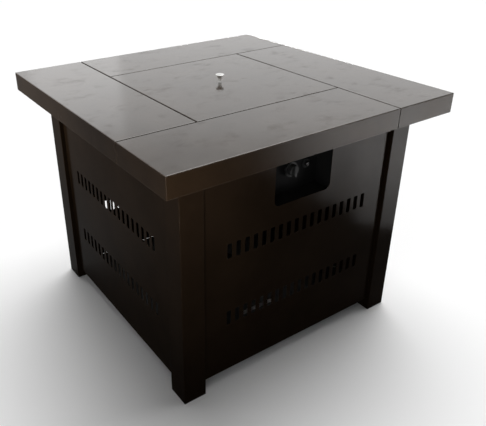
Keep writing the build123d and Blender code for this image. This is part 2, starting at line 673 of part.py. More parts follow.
# Dark box behind the control opening
box_half = OPENING_WIDTH / 2 + BOX_MARGIN
box_low = opening_low - BOX_MARGIN
box_high = opening_top + BOX_MARGIN
igniter_hole = BUTTON_RADIUS + 3.5
with BuildPart() as control_box:
    reach = box_half + SHEET + BOX_FLANGE
    block(-reach, reach, -back, -back + SHEET, box_low - SHEET - BOX_FLANGE, box_high + SHEET + BOX_FLANGE)
    block(-box_half - SHEET, box_half + SHEET, -back, -wall_rear, box_low - SHEET, box_high + SHEET)
    block(-box_half, box_half, -back - 1, -wall_front, box_low, box_high, Mode.SUBTRACT)
    with Locations(Location((0, -wall_front, valve_z), (90, 0, 0))):
        Cylinder(SPINDLE_RADIUS + 1, SHEET * 4, mode=Mode.SUBTRACT)
    with Locations(Location((IGNITER_SIDE, -wall_front, valve_z), (90, 0, 0))):
        Cylinder(igniter_hole, SHEET * 4, mode=Mode.SUBTRACT)
    for x in (-VALVE_WIDTH * 0.36, VALVE_WIDTH * 0.36):
        with Locations(Location((x, -wall_front, valve_z), (90, 0, 0))):
            Cylinder(SCREW_RADIUS, SHEET * 4, mode=Mode.SUBTRACT)
save(control_box, "control_box")

with BuildPart() as valve_screws:
    for x in (-VALVE_WIDTH * 0.36, VALVE_WIDTH * 0.36):
        with Locations(Location((x, -wall_front, valve_z), (-90, 0, 0))):
            add(sheet_screw.part)
save(valve_screws, "valve_screws")

knob_gap = KNOB_PUSH + SCREW_RADIUS + 0.5
spindle_in = KNOB_LENGTH * 0.55
with BuildPart() as valve_spindle:
    with BuildSketch(control_plane.offset(-SHEET - 16)):
        Circle(SPINDLE_RADIUS)
    extrude(amount=SHEET + 16 + knob_gap + spindle_in)
save(valve_spindle, "valve_spindle")

with BuildPart() as control_knob:
    with BuildSketch(control_plane.offset(knob_gap)):
        Circle(KNOB_SKIRT)
    extrude(amount=KNOB_LENGTH * 0.18)
    with BuildSketch(control_plane.offset(knob_gap + KNOB_LENGTH * 0.18)):
        Circle(KNOB_GRIP)
    extrude(amount=KNOB_LENGTH * 0.52, taper=4)
    with BuildSketch(control_plane.offset(knob_gap)):
        RectangleRounded(KNOB_GRIP * 0.55, KNOB_GRIP * 2.2, 3)
    extrude(amount=KNOB_LENGTH)
    fillet(control_knob.faces().sort_by(Axis.Y)[0].edges(), 1.5)
    with BuildSketch(control_plane.offset(knob_gap)):
        Circle(SPINDLE_RADIUS + RUN_EASE)
    extrude(amount=spindle_in + KNOB_PUSH + 1, mode=Mode.SUBTRACT)
save(control_knob, "control_knob")

button_bore = BUTTON_RADIUS + SLIDE_EASE
bezel = 3.0
with BuildPart() as igniter_housing:
    with BuildSketch(control_plane):
        with Locations((IGNITER_SIDE, 0)):
            Circle(igniter_hole + 3)
    extrude(amount=bezel)
    with BuildSketch(control_plane):
        with Locations((IGNITER_SIDE, 0)):
            Circle(igniter_hole)
    extrude(amount=-44)
    with BuildSketch(control_plane.offset(bezel)):
        with Locations((IGNITER_SIDE, 0)):
            Circle(button_bore)
    extrude(amount=-bezel - BUTTON_PRESS - 8, mode=Mode.SUBTRACT)
save(igniter_housing, "igniter_housing")

with BuildPart() as igniter_nut:
    with BuildSketch(control_plane.offset(-SHEET)):
        with Locations((IGNITER_SIDE, 0)):
            RegularPolygon(igniter_hole * 1.45, 6)
            Circle(igniter_hole, mode=Mode.SUBTRACT)
    extrude(amount=-5)
save(igniter_nut, "igniter_nut")

with BuildPart() as igniter_button:
    with BuildSketch(control_plane.offset(-7)):
        with Locations((IGNITER_SIDE, 0)):
            Circle(BUTTON_RADIUS)
    extrude(amount=7 + bezel + BUTTON_PRESS + 1.5)
    fillet(igniter_button.faces().sort_by(Axis.Y)[0].edges(), 1.5)
save(igniter_button, "igniter_button")

# Spark electrode and thermocouple beside the ring
tab_z = burner_z + 8
with BuildPart() as pilot_bracket:
    block(-16, 16, pilot_y - 22, pilot_y + 6, pan_floor, pan_floor + SHEET)
    block(-16, 16, pilot_y - 22, pilot_y - 22 + SHEET, pan_floor, tab_z)
    block(-16, 16, pilot_y - 22, pilot_y + 6, tab_z - SHEET, tab_z)
    post(-pilot_x, pilot_y, pan_floor - 1, tab_z + 1, 3.5, Mode.SUBTRACT)
    post(pilot_x, pilot_y, pan_floor - 1, tab_z + 1, 2.5, Mode.SUBTRACT)
save(pilot_bracket, "pilot_bracket")

with BuildPart() as spark_electrode:
    post(-pilot_x, pilot_y, pan_under - 14, tab_z + 3, 3.5)
    post(-pilot_x, pilot_y, tab_z, tab_z + 13, 1.2)
save(spark_electrode, "spark_electrode")

with BuildPart() as thermocouple:
    post(pilot_x, pilot_y, pan_under - 14, tab_z + 15, 2.5)
    fillet(thermocouple.edges().sort_by(Axis.Z)[-1], 2)
save(thermocouple, "thermocouple")

# Heat shield hung under the bowl
spacer_spots = around([(-SHIELD_HALF * 0.8, -SHIELD_HALF * 0.8)])
with BuildPart() as heat_shield:
    block(-SHIELD_HALF, SHIELD_HALF, -SHIELD_HALF, SHIELD_HALF, shield_top - SHEET, shield_top)
    for side in (-1, 1):
        edge = side * SHIELD_HALF
        block(-SHIELD_HALF, SHIELD_HALF, min(edge, edge - side * SHEET), max(edge, edge - side * SHEET),
              shield_top - 12, shield_top)
save(heat_shield, "heat_shield")

with BuildPart() as shield_spacers:
    for x, y in spacer_spots:
        post(x, y, shield_top, pan_under, 5)
save(shield_spacers, "shield_spacers")


def wobble(number):
    """A repeatable value from 0 to 1."""
    value = sin(number * 12.9898) * 43758.5453
    return value - value // 1


def rock(x, y, reach, tall, seed):
    """A broken stone with a flat underside on the bowl's floor."""
    points = []
    for ring, (level, spread) in enumerate(((0.0, 0.72), (0.45, 1.0), (0.8, 0.78), (1.0, 0.34))):
        for step in range(6):
            key = seed * 31 + ring * 7 + step
            angle = (step + 0.5 * ring + 0.5 * wobble(key)) * pi / 3
            out = reach * spread * (0.78 + 0.22 * wobble(key + 0.37))
            lift = 0 if ring == 0 else tall * 0.12 * (wobble(key + 0.71) - 1)
            points.append((x + out * cos(angle), y + out * sin(angle), pan_floor + tall * level + lift))
    ConvexPolyhedron(points)


# Lava stones in one loose layer, low ones under the burner tubes
rock_rows = int((pan_half - SHEET - ROCK_REACH) * 2 / ROCK_PITCH) + 1
rock_start = -(rock_rows - 1) / 2 * ROCK_PITCH
with BuildPart() as lava_stones:
    for i in range(rock_rows):
        for j in range(rock_rows):
            seed = i * rock_rows + j + 1
            x = rock_start + i * ROCK_PITCH
            y = rock_start + j * ROCK_PITCH
            from_hub = hypot(x, y)
            if from_hub < HUB_RADIUS + 9 + ROCK_REACH:
                continue
            if abs(x) < 17 + ROCK_REACH and abs(y - pilot_y + 8) < 15 + ROCK_REACH:
                continue
            if min(hypot(x - u, y - v) for u, v in foot_spots) < 10 + ROCK_REACH:
                continue
            near_ring = abs(from_hub - BURNER_RADIUS) < BURNER_TUBE + ROCK_REACH + 1
            near_cross = abs(y) < cross_tube + ROCK_REACH + 1 and abs(x) < BURNER_RADIUS
            room = BURNER_LIFT - BURNER_TUBE - 4
            tall = room if near_ring or near_cross else BURNER_LIFT * (1.0 + 0.35 * wobble(seed + 0.11))
            rock(x, y, ROCK_REACH * (0.9 + 0.1 * wobble(seed + 0.53)), tall, seed)
save(lava_stones, "lava_stones")
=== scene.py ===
# Square propane fire pit table: finishes, small pieces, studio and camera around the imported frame.
import json
import math

import bmesh
import bpy
from mathutils import Matrix, Vector, noise


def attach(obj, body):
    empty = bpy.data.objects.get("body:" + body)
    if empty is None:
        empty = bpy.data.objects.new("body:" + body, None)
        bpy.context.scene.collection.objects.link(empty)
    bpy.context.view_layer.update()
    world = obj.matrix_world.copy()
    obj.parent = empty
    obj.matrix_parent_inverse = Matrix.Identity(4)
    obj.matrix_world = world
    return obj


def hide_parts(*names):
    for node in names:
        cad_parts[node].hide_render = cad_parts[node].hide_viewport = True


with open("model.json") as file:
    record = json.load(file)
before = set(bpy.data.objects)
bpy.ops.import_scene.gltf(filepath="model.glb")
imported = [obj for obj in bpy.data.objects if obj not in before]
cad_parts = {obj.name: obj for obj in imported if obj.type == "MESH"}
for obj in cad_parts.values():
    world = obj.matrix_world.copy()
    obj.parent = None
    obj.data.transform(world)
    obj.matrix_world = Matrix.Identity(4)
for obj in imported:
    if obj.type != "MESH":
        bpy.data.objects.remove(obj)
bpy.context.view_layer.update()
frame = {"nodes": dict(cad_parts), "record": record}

nodes = frame["nodes"]
slot_of = {row["node"]: row["material_slot"] for row in frame["record"]["subparts"]}

# Camera, fitted to the corners of the top, the seams, the legs and the slots
IMAGE_WIDTH = 486
IMAGE_HEIGHT = 426
FOCAL_PIXELS = 586.04
LENS_MIDDLE = (200.0, 190.0)
CAMERA_PLACE = (-1.02422, -1.43100, 1.28562)
CAMERA_AZIMUTH = -33.467
CAMERA_ELEVATION = 27.01
CAMERA_ROLL = -0.714

# Sizes and places of small pieces and marks, in metres
MM = 0.001
BURNER_MIDDLE = 690.0 * MM
BURNER_RING = 112.0 * MM
BURNER_TUBE = 11.0 * MM
BURNER_HUB_CLEAR = 24.0 * MM
HEAT_REACH = 100.0 * MM
KNOB_AXIS = (0.0, 596.0 * MM)
KNOB_SKIRT = 22.0 * MM
KNOB_SKIRT_BACK = -340.5 * MM
KNOB_SKIRT_DEEP = 4.0 * MM
ELECTRODE = (-8.0 * MM, -135.0 * MM, 711.0 * MM)
INLET_THREAD_PITCH = 1.41 * MM
INLET_THREAD_TOP = 547.0 * MM
INLET_THREAD_RUNOUT = 0.8 * MM


class Wiring:
    """Adds nodes to a tree. Another node's output or a plain value may go into any input."""

    def __init__(self, tree):
        self.tree = tree
        self.tree.nodes.clear()

    def set(self, node, key, value):
        if isinstance(value, bpy.types.NodeSocket):
            self.tree.links.new(value, node.inputs[key])
        else:
            node.inputs[key].default_value = value

    def add(self, kind, inputs=None, **settings):
        node = self.tree.nodes.new(kind)
        for name, value in settings.items():
            setattr(node, name, value)
        for key, value in (inputs or {}).items():
            self.set(node, key, value)
        return node

    def maths(self, operation, first, second=0.0, clamp=False):
        node = self.add("ShaderNodeMath", {0: first, 1: second}, operation=operation, use_clamp=clamp)
        return node.outputs[0]

    def times(self, value, factor, clamp=False):
        return self.maths("MULTIPLY", value, factor, clamp)

    def vectors(self, operation, first, second=None):
        node = self.add("ShaderNodeVectorMath", {0: first}, operation=operation)
        if second is not None:
            self.set(node, "Scale" if operation == "SCALE" else 1, second)
        return node.outputs["Value" if operation == "DOT_PRODUCT" else 0]

    def noise(self, where, scale, detail=3.0, rough=0.55):
        node = self.add("ShaderNodeTexNoise", {
            "Vector": where, "Scale": scale, "Detail": detail, "Roughness": rough})
        return node.outputs["Fac"]

    def cells(self, where, scale):
        return self.add("ShaderNodeTexVoronoi", {"Vector": where, "Scale": scale}).outputs

    def range(self, value, low, high, to_low=0.0, to_high=1.0):
        node = self.add("ShaderNodeMapRange", {
            "Value": value, "From Min": low, "From Max": high, "To Min": to_low, "To Max": to_high})
        node.interpolation_type = "SMOOTHSTEP"
        return node.outputs["Result"]

    def stretch(self, where, scale):
        return self.add("ShaderNodeMapping", {"Vector": where, "Scale": scale}).outputs["Vector"]

    def upright(self, height):
        return self.add("ShaderNodeCombineXYZ", {"Z": height}).outputs[0]

    def split(self, vector):
        return self.add("ShaderNodeSeparateXYZ", {0: vector}).outputs

    def mix(self, factor, first, second):
        node = self.add("ShaderNodeMix", data_type="RGBA")
        for key, value in ((0, factor), (6, first), (7, second)):
            self.set(node, key, value)
        return node.outputs[2]


def colour(red, green, blue):
    return (red, green, blue, 1.0)


def new_object(name, data):
    made = bpy.data.objects.new(name, data)
    bpy.context.scene.collection.objects.link(made)
    return made


FLOAT, VECTOR = "NodeSocketFloat", "NodeSocketVector"
GEOMETRY, WHOLE, FINISH = "NodeSocketGeometry", "NodeSocketInt", "NodeSocketMaterial"
ONE_MESH = [("Geometry", GEOMETRY)]


def new_tree(name, kind, inputs, outputs):
    """An empty node group with named sockets, its wiring, and its input and output nodes."""
    tree = bpy.data.node_groups.new(name, kind)
    for label, socket_kind, value in inputs:
        socket = tree.interface.new_socket(label, in_out="INPUT", socket_type=socket_kind)
        if value is not None:
            socket.default_value = value
    for label, socket_kind in outputs:
        tree.interface.new_socket(label, in_out="OUTPUT", socket_type=socket_kind)
    w = Wiring(tree)
    return tree, w, w.add("NodeGroupInput"), w.add("NodeGroupOutput")


# Effects that several finishes share
def make_powder_grain():
    """Sprayed powder coat: the fine dimples of the baked film and its slow cloudy change of tone."""
    tree, w, given, out = new_tree(
        "powder_grain", "ShaderNodeTree",
        [("Where", VECTOR, None), ("Dimples", FLOAT, 900.0)], [("Height", FLOAT), ("Cloud", FLOAT)])
    where = given.outputs["Where"]
    dimples = w.noise(where, given.outputs["Dimples"], 2.0, 0.5)
    waves = w.noise(where, 140.0, 2.0, 0.5)
    w.set(out, "Height", w.maths("ADD", w.times(dimples, 0.6), w.times(waves, 0.4)))
    w.set(out, "Cloud", w.range(w.noise(where, 5.5, 4.0, 0.6), 0.32, 0.68))
    return tree


def make_wipe_marks():
    """Smears left by a cloth and by hands: soft patches with finer streaks inside."""
    tree, w, given, out = new_tree(
        "wipe_marks", "ShaderNodeTree",
        [("Where", VECTOR, None), ("Density", FLOAT, 0.5)], [("Smear", FLOAT)])
    where = given.outputs["Where"]
    patch = w.range(w.noise(where, 12.0, 4.0, 0.6), 0.40, 0.72)
    streak = w.noise(w.stretch(where, (20.0, 32.0, 26.0)), 1.0, 5.0, 0.65)
    smear = w.times(patch, w.range(streak, 0.35, 0.72))
    w.set(out, "Smear", w.times(smear, given.outputs["Density"], clamp=True))
    return tree


def make_settled_dust():
    """Fine dust on faces that look up, thicker in blotches."""
    tree, w, given, out = new_tree(
        "settled_dust", "ShaderNodeTree",
        [("Where", VECTOR, None), ("Facing", VECTOR, None), ("Amount", FLOAT, 0.3)], [("Dust", FLOAT)])
    upward = w.split(given.outputs["Facing"])["Z"]
    blotch = w.range(w.noise(given.outputs["Where"], 16.0, 5.0, 0.65), 0.35, 0.8)
    lying = w.times(w.range(upward, 0.55, 0.95), blotch)
    w.set(out, "Dust", w.times(lying, given.outputs["Amount"], clamp=True))
    return tree


def make_edge_wear_and_highlight():
    """Bends and cut edges, for worn film and, in the paints, a painted highlight: full on the edge, broken up
    along it.
    """
    tree, w, given, out = new_tree(
        "edge_wear_and_highlight", "ShaderNodeTree",
        [("Where", VECTOR, None), ("Reach", FLOAT, 2.0 * MM)], [("Edge", FLOAT)])
    rounded = w.add("ShaderNodeBevel", {"Radius": given.outputs["Reach"]}, samples=4).outputs["Normal"]
    true_normal = w.add("ShaderNodeNewGeometry").outputs["Normal"]
    edge = w.range(w.vectors("DOT_PRODUCT", rounded, true_normal), 0.985, 0.80)
    broken = w.range(w.noise(given.outputs["Where"], 45.0, 4.0, 0.6), 0.3, 0.7, 0.35, 1.0)
    w.set(out, "Edge", w.times(edge, broken))
    return tree


def make_drawn_lines():
    """Long fine lines of drawn, turned or brushed metal, and the slow stains on it."""
    tree, w, given, out = new_tree(
        "drawn_lines", "ShaderNodeTree",
        [("Where", VECTOR, None), ("Stretch", VECTOR, (40.0, 900.0, 900.0))],
        [("Line", FLOAT), ("Stain", FLOAT)])
    where = given.outputs["Where"]
    w.set(out, "Line", w.noise(w.stretch(where, given.outputs["Stretch"]), 1.0, 3.0, 0.6))
    w.set(out, "Stain", w.range(w.noise(where, 24.0, 4.0, 0.6), 0.35, 0.7))
    return tree


def make_mould_grain():
    """Skin of a moulded or die cast piece: even fine grain and broad flow patches."""
    tree, w, given, out = new_tree(
        "mould_grain", "ShaderNodeTree",
        [("Where", VECTOR, None), ("Grain", FLOAT, 1600.0)], [("Height", FLOAT), ("Flow", FLOAT)])
    where = given.outputs["Where"]
    cells = w.cells(where, given.outputs["Grain"])["Distance"]
    w.set(out, "Height", w.maths("ADD", cells, w.noise(where, 420.0, 2.0, 0.5)))
    w.set(out, "Flow", w.range(w.noise(where, 38.0, 3.0, 0.55), 0.3, 0.7))
    return tree


def make_heat_marks():
    """How hot the metal has been, from the distance to the burner, with soot in blotches."""
    tree, w, given, out = new_tree(
        "heat_marks", "ShaderNodeTree", [("Where", VECTOR, None)], [("Heat", FLOAT), ("Soot", FLOAT)])
    where = given.outputs["Where"]
    axes = w.split(where)
    squares = [w.maths("POWER", axes[label], 2.0) for label in ("X", "Y")]
    across = w.maths("SQRT", w.maths("ADD", *squares))
    from_ring = w.maths("ABSOLUTE", w.maths("SUBTRACT", across, BURNER_RING))
    low = w.range(axes["Z"], BURNER_MIDDLE - 30.0 * MM, BURNER_MIDDLE + 10.0 * MM)
    uneven = w.range(w.noise(where, 30.0, 4.0, 0.6), 0.3, 0.7, 0.6, 1.15)
    near = w.range(from_ring, HEAT_REACH, 0.0)
    w.set(out, "Heat", w.times(w.times(near, low), uneven, clamp=True))
    w.set(out, "Soot", w.times(near, w.range(w.noise(where, 55.0, 5.0, 0.65), 0.45, 0.75)))
    return tree


POWDER_GRAIN = make_powder_grain()
WIPE_MARKS = make_wipe_marks()
SETTLED_DUST = make_settled_dust()
EDGE_WEAR_AND_HIGHLIGHT = make_edge_wear_and_highlight()
DRAWN_LINES = make_drawn_lines()
MOULD_GRAIN = make_mould_grain()
HEAT_MARKS = make_heat_marks()


class Finish:
    """A material under way: its wiring, its Principled shader and the coordinates its patterns read."""

    def __init__(self, name, metal=0.0, specular=0.5):
        self.material = bpy.data.materials.new(name)
        self.material.use_nodes = True
        self.w = Wiring(self.material.node_tree)
        self.shader = self.w.add("ShaderNodeBsdfPrincipled", {
            "Metallic": metal, "Specular IOR Level": specular})
        end = self.w.add("ShaderNodeOutputMaterial")
        self.w.set(end, "Surface", self.shader.outputs["BSDF"])
        spots = self.w.add("ShaderNodeTexCoord")
        self.where = spots.outputs["Object"]
        self.facing = spots.outputs["Normal"]

    def group(self, tree, **inputs):
        node = self.w.add("ShaderNodeGroup", node_tree=tree)
        self.w.set(node, "Where", self.where)
        for key, value in inputs.items():
            self.w.set(node, key, value)
        return node.outputs

    def dust(self, amount):
        return self.group(SETTLED_DUST, Facing=self.facing, Amount=amount)["Dust"]

    def feed(self, **sockets):
        for key, value in sockets.items():
            self.w.set(self.shader, key.replace("_", " "), value)

    def bump(self, height, depth, strength=1.0):
        node = self.w.add("ShaderNodeBump", {"Height": height, "Distance": depth, "Strength": strength})
        self.feed(Normal=node.outputs["Normal"])


DUST_TONE = colour(0.30, 0.27, 0.23)


def powder_coat(name, deep, pale, worn, rough, specular, smears, dust, polish=0.0):
    """Baked paint: cloudy tone, wipe marks, some dust, pale edges that are worn film and painted highlight.
    Polish is a clear gloss on level tops.
    """
    f = Finish(name, specular=specular)
    w = f.w
    grain = f.group(POWDER_GRAIN)
    smear = f.group(WIPE_MARKS, Density=smears)["Smear"]
    dusty = f.dust(dust)
    edge = f.group(EDGE_WEAR_AND_HIGHLIGHT, Reach=3.0 * MM)["Edge"]
    film = w.mix(grain["Cloud"], deep, pale)
    level = w.split(f.facing)["Z"]
    # Pale edges, strongest where they face up: part worn film, part a painted highlight along the rims
    highlit_worn_rim = w.times(edge, w.range(level, 0.0, 0.4, 0.15, 0.85))
    f.feed(Base_Color=w.mix(w.times(dusty, 0.10), w.mix(highlit_worn_rim, film, worn), DUST_TONE))
    clouded = w.range(grain["Cloud"], 0.0, 1.0, rough * 0.92, rough * 1.10)
    base = w.maths("ADD", clouded, w.times(smear, 0.06))
    f.feed(Roughness=w.maths("ADD", base, w.times(dusty, 0.12), clamp=True))
    if polish:
        upward = w.range(level, 0.2, 0.9, 0.0, polish)
        f.feed(Coat_Weight=w.times(upward, w.range(smear, 0.0, 1.0, 1.0, 0.76)))
        f.shader.inputs["Coat Roughness"].default_value = 0.14
    f.bump(grain["Height"], 0.12 * MM, 0.35)
    return f.material


def heat_proof_paint():
    """Matt black stove paint in the fire bowl, baked grey and sooty round the burner."""
    f = Finish("bowl_paint", specular=0.25)
    w = f.w
    grain = f.group(POWDER_GRAIN, Dimples=650.0)
    marks = f.group(HEAT_MARKS)
    edge = f.group(EDGE_WEAR_AND_HIGHLIGHT)["Edge"]
    film = w.mix(grain["Cloud"], colour(0.014, 0.0135, 0.013), colour(0.026, 0.025, 0.024))
    baked = w.mix(w.times(marks["Heat"], 0.5), film, colour(0.075, 0.068, 0.062))
    sooty = w.mix(w.times(marks["Soot"], 0.6), baked, colour(0.006, 0.006, 0.006))
    f.feed(Base_Color=w.mix(w.times(edge, 0.3), sooty, colour(0.12, 0.075, 0.05)))
    f.feed(Roughness=w.range(grain["Cloud"], 0.0, 1.0, 0.62, 0.78))
    f.bump(grain["Height"], 0.2 * MM, 0.5)
    return f.material


def turned_knob():
    """Chrome plating: satin where it was turned, polished on the end that looks up; a painted highlight makes
    the stem paler and painted shade makes that end darker.
    """
    f = Finish("knob_chrome", metal=1.0)
    w = f.w
    smear = f.group(WIPE_MARKS, Density=0.8)["Smear"]
    lines = f.group(DRAWN_LINES, Stretch=(120.0, 120.0, 2400.0))
    cap = w.range(w.split(f.facing)["Z"], 0.55, 0.95)
    # Paler on the stem and darker on the cap that looks up: a painted highlight on the stem, painted shade on
    # the cap
    lit_stem_shaded_cap = w.mix(cap, colour(0.90, 0.90, 0.88), colour(0.50, 0.50, 0.49))
    f.feed(Base_Color=w.mix(w.times(smear, 0.3), lit_stem_shaded_cap, colour(0.60, 0.60, 0.59)))
    satin = w.range(cap, 0.0, 1.0, 0.52, 0.12)
    f.feed(Roughness=w.maths("ADD", satin, w.range(lines["Line"], 0.3, 0.7, 0.0, 0.06)))
    f.bump(lines["Line"], 0.01 * MM, 0.3)
    return f.material


def zinc_plate():
    """Bright zinc with the faint yellow and blue of its passivating bath."""
    f = Finish("zinc_steel", metal=1.0)
    w = f.w
    lines = f.group(DRAWN_LINES, Stretch=(260.0, 260.0, 260.0))
    edge = f.group(EDGE_WEAR_AND_HIGHLIGHT, Reach=0.6 * MM)["Edge"]
    bath = w.mix(lines["Stain"], colour(0.50, 0.52, 0.56), colour(0.60, 0.57, 0.47))
    f.feed(Base_Color=w.mix(w.times(edge, 0.5), bath, colour(0.74, 0.74, 0.73)))
    f.feed(Roughness=w.range(lines["Line"], 0.25, 0.75, 0.24, 0.42))
    f.bump(lines["Line"], 0.04 * MM, 0.5)
    return f.material


def heat_tinted_stainless():
    """Brushed stainless that runs from bare grey through straw to blue where the flames stand."""
    f = Finish("stainless", metal=1.0)
    w = f.w
    lines = f.group(DRAWN_LINES, Stretch=(700.0, 700.0, 90.0))
    marks = f.group(HEAT_MARKS)
    bare = w.mix(lines["Stain"], colour(0.56, 0.55, 0.52), colour(0.47, 0.46, 0.44))
    straw = w.mix(w.range(marks["Heat"], 0.15, 0.55), bare, colour(0.46, 0.34, 0.17))
    blued = w.mix(w.range(marks["Heat"], 0.60, 0.95), straw, colour(0.16, 0.16, 0.27))
    f.feed(Base_Color=w.mix(w.times(marks["Soot"], 0.35), blued, colour(0.03, 0.028, 0.026)))
    brushed = w.range(lines["Line"], 0.25, 0.75, 0.22, 0.38)
    f.feed(Roughness=w.maths("ADD", brushed, w.times(marks["Soot"], 0.25)))
    f.bump(lines["Line"], 0.04 * MM, 0.5)
    return f.material


def galvanised_sheet():
    """Hot dipped zinc with its spangle: flat crystals, each with its own grey."""
    f = Finish("galvanised", metal=1.0)
    w = f.w
    crystals = w.cells(f.where, 85.0)
    tone = w.split(crystals["Color"])["X"]
    lines = f.group(DRAWN_LINES, Stretch=(30.0, 240.0, 240.0))
    spangle = w.mix(tone, colour(0.40, 0.42, 0.43), colour(0.60, 0.61, 0.61))
    dull = w.mix(w.times(lines["Stain"], 0.4), spangle, colour(0.36, 0.36, 0.34))
    f.feed(Base_Color=w.mix(w.times(f.dust(0.6), 0.3), dull, DUST_TONE))
    f.feed(Roughness=w.range(tone, 0.0, 1.0, 0.46, 0.30))
    f.bump(crystals["Distance"], 0.03 * MM, 0.4)
    return f.material


def turned_brass():
    """Brass fittings, tarnished in patches, with the thread cut on the lower, outer part of the inlet."""
    f = Finish("brass", metal=1.0)
    w = f.w
    lines = f.group(DRAWN_LINES, Stretch=(80.0, 80.0, 2600.0))
    height = w.split(f.where)["Z"]
    turns = w.maths("SINE", w.times(height, 2 * math.pi / INLET_THREAD_PITCH))
    cut = w.times(turns, w.range(height, INLET_THREAD_TOP + INLET_THREAD_RUNOUT, INLET_THREAD_TOP))
    f.feed(Base_Color=w.mix(lines["Stain"], colour(0.70, 0.49, 0.19), colour(0.47, 0.31, 0.12)))
    f.feed(Roughness=w.range(lines["Line"], 0.25, 0.75, 0.20, 0.40))
    f.bump(w.maths("ADD", w.times(cut, 6.0), lines["Line"]), 0.06 * MM, 0.8)
    return f.material


def die_cast_alloy():
    f = Finish("cast_alloy", metal=1.0)
    w = f.w
    grain = f.group(MOULD_GRAIN, Grain=900.0)
    edge = f.group(EDGE_WEAR_AND_HIGHLIGHT, Reach=1.2 * MM)["Edge"]
    skin = w.mix(grain["Flow"], colour(0.50, 0.50, 0.50), colour(0.60, 0.60, 0.59))
    f.feed(Base_Color=w.mix(w.times(edge, 0.6), skin, colour(0.72, 0.72, 0.71)))
    f.feed(Roughness=w.range(grain["Flow"], 0.0, 1.0, 0.52, 0.38))
    f.bump(grain["Height"], 0.12 * MM, 0.5)
    return f.material


def moulded_black():
    """Black nylon with an eroded mould grain, greyed a little where hands and dust reach it."""
    f = Finish("black_plastic", specular=0.02)
    w = f.w
    grain = f.group(MOULD_GRAIN)
    edge = f.group(EDGE_WEAR_AND_HIGHLIGHT, Reach=1.0 * MM)["Edge"]
    skin = w.mix(grain["Flow"], colour(0.014, 0.014, 0.014), colour(0.022, 0.022, 0.0217))
    worn = w.mix(w.times(edge, 0.2), skin, colour(0.05, 0.05, 0.049))
    f.feed(Base_Color=w.mix(w.times(f.dust(0.5), 0.12), worn, DUST_TONE))
    f.feed(Roughness=w.range(grain["Flow"], 0.0, 1.0, 0.48, 0.62))
    f.bump(grain["Height"], 0.06 * MM, 0.6)
    return f.material


def gloss_button():
    f = Finish("button_plastic", specular=0.05)
    w = f.w
    grain = f.group(MOULD_GRAIN, Grain=700.0)
    smear = f.group(WIPE_MARKS, Density=1.0)["Smear"]
    f.feed(Base_Color=w.mix(grain["Flow"], colour(0.010, 0.010, 0.010), colour(0.018, 0.017, 0.017)))
    gloss = w.range(grain["Flow"], 0.0, 1.0, 0.16, 0.22)
    f.feed(Roughness=w.maths("ADD", gloss, w.times(smear, 0.25)))
    f.bump(grain["Height"], 0.01 * MM, 0.3)
    return f.material


def glazed_ceramic():
    f = Finish("white_ceramic", specular=0.5)
    w = f.w
    grain = f.group(MOULD_GRAIN, Grain=520.0)
    marks = f.group(HEAT_MARKS)
    glaze = w.mix(grain["Flow"], colour(0.78, 0.75, 0.68), colour(0.70, 0.66, 0.57))
    f.feed(Base_Color=w.mix(w.times(marks["Heat"], 0.45), glaze, colour(0.30, 0.25, 0.20)))
    f.feed(Roughness=w.range(grain["Flow"], 0.0, 1.0, 0.14, 0.26))
    f.bump(grain["Height"], 0.02 * MM, 0.3)
    return f.material


def lava_rock():
    """Porous volcanic stone, black to rust red, with painted shade in its pits and ashy high spots."""
    f = Finish("lava", specular=0.2)
    w = f.w
    pits = w.cells(f.where, 260.0)["Distance"]
    small_pits = w.cells(f.where, 620.0)["Distance"]
    tone = w.range(w.noise(f.where, 34.0, 5.0, 0.65), 0.30, 0.70)
    stone = w.mix(tone, colour(0.030, 0.026, 0.024), colour(0.115, 0.052, 0.036))
    ash = w.times(w.range(w.noise(f.where, 120.0, 4.0, 0.6), 0.52, 0.75), 0.5)
    pale = w.mix(ash, stone, colour(0.17, 0.15, 0.14))
    # Near black in the pits that the bump sinks: painted shade in the hollows
    f.feed(Base_Color=w.mix(w.range(pits, 0.28, 0.08), pale, colour(0.010, 0.008, 0.007)))
    f.feed(Roughness=w.range(tone, 0.0, 1.0, 0.82, 0.95))
    f.bump(w.maths("ADD", w.range(pits, 0.05, 0.40), w.times(small_pits, 0.5)), 1.2 * MM, 0.9)
    return f.material


# White surroundings would shine in dark paint, so its specular is low and the studio strips give the sheen
FINISHES = {
    # The top's pale worn colour makes its rim lines a painted highlight as well as wear
    "top_paint": powder_coat(
        "top_paint", deep=colour(0.0225, 0.0134, 0.0072), pale=colour(0.0300, 0.0180, 0.0098),
        worn=colour(0.38, 0.31, 0.26), rough=0.22, specular=0.0068, smears=1.0, dust=0.5, polish=0.95),
    # The body's paint is a darker copy of the top's: painted shade on the sides
    "body_paint": powder_coat(
        "body_paint", deep=colour(0.0185, 0.0110, 0.0060), pale=colour(0.0240, 0.0145, 0.0082),
        worn=colour(0.09, 0.062, 0.042), rough=0.14, specular=0.0036, smears=0.8, dust=0.3),
    "frame_paint": powder_coat(
        "frame_paint", deep=colour(0.012, 0.0115, 0.011), pale=colour(0.020, 0.019, 0.018),
        worn=colour(0.10, 0.095, 0.09), rough=0.44, specular=0.2, smears=0.6, dust=0.8),
    # Near black, darker than plain black paint: painted shade in the control box's recess
    "recess_paint": powder_coat(
        "recess_paint", deep=colour(0.0050, 0.0050, 0.0050), pale=colour(0.0072, 0.0072, 0.0072),
        worn=colour(0.016, 0.016, 0.016), rough=0.80, specular=0.02, smears=0.3, dust=0.2),
    "knob_chrome": turned_knob(),
    "zinc_steel": zinc_plate(),
    "bowl_paint": heat_proof_paint(),
    "stainless": heat_tinted_stainless(),
    "galvanised": galvanised_sheet(),
    "brass": turned_brass(),
    "cast_alloy": die_cast_alloy(),
    "black_plastic": moulded_black(),
    "button_plastic": gloss_button(),
    "white_ceramic": glazed_ceramic(),
    "lava": lava_rock(),
}

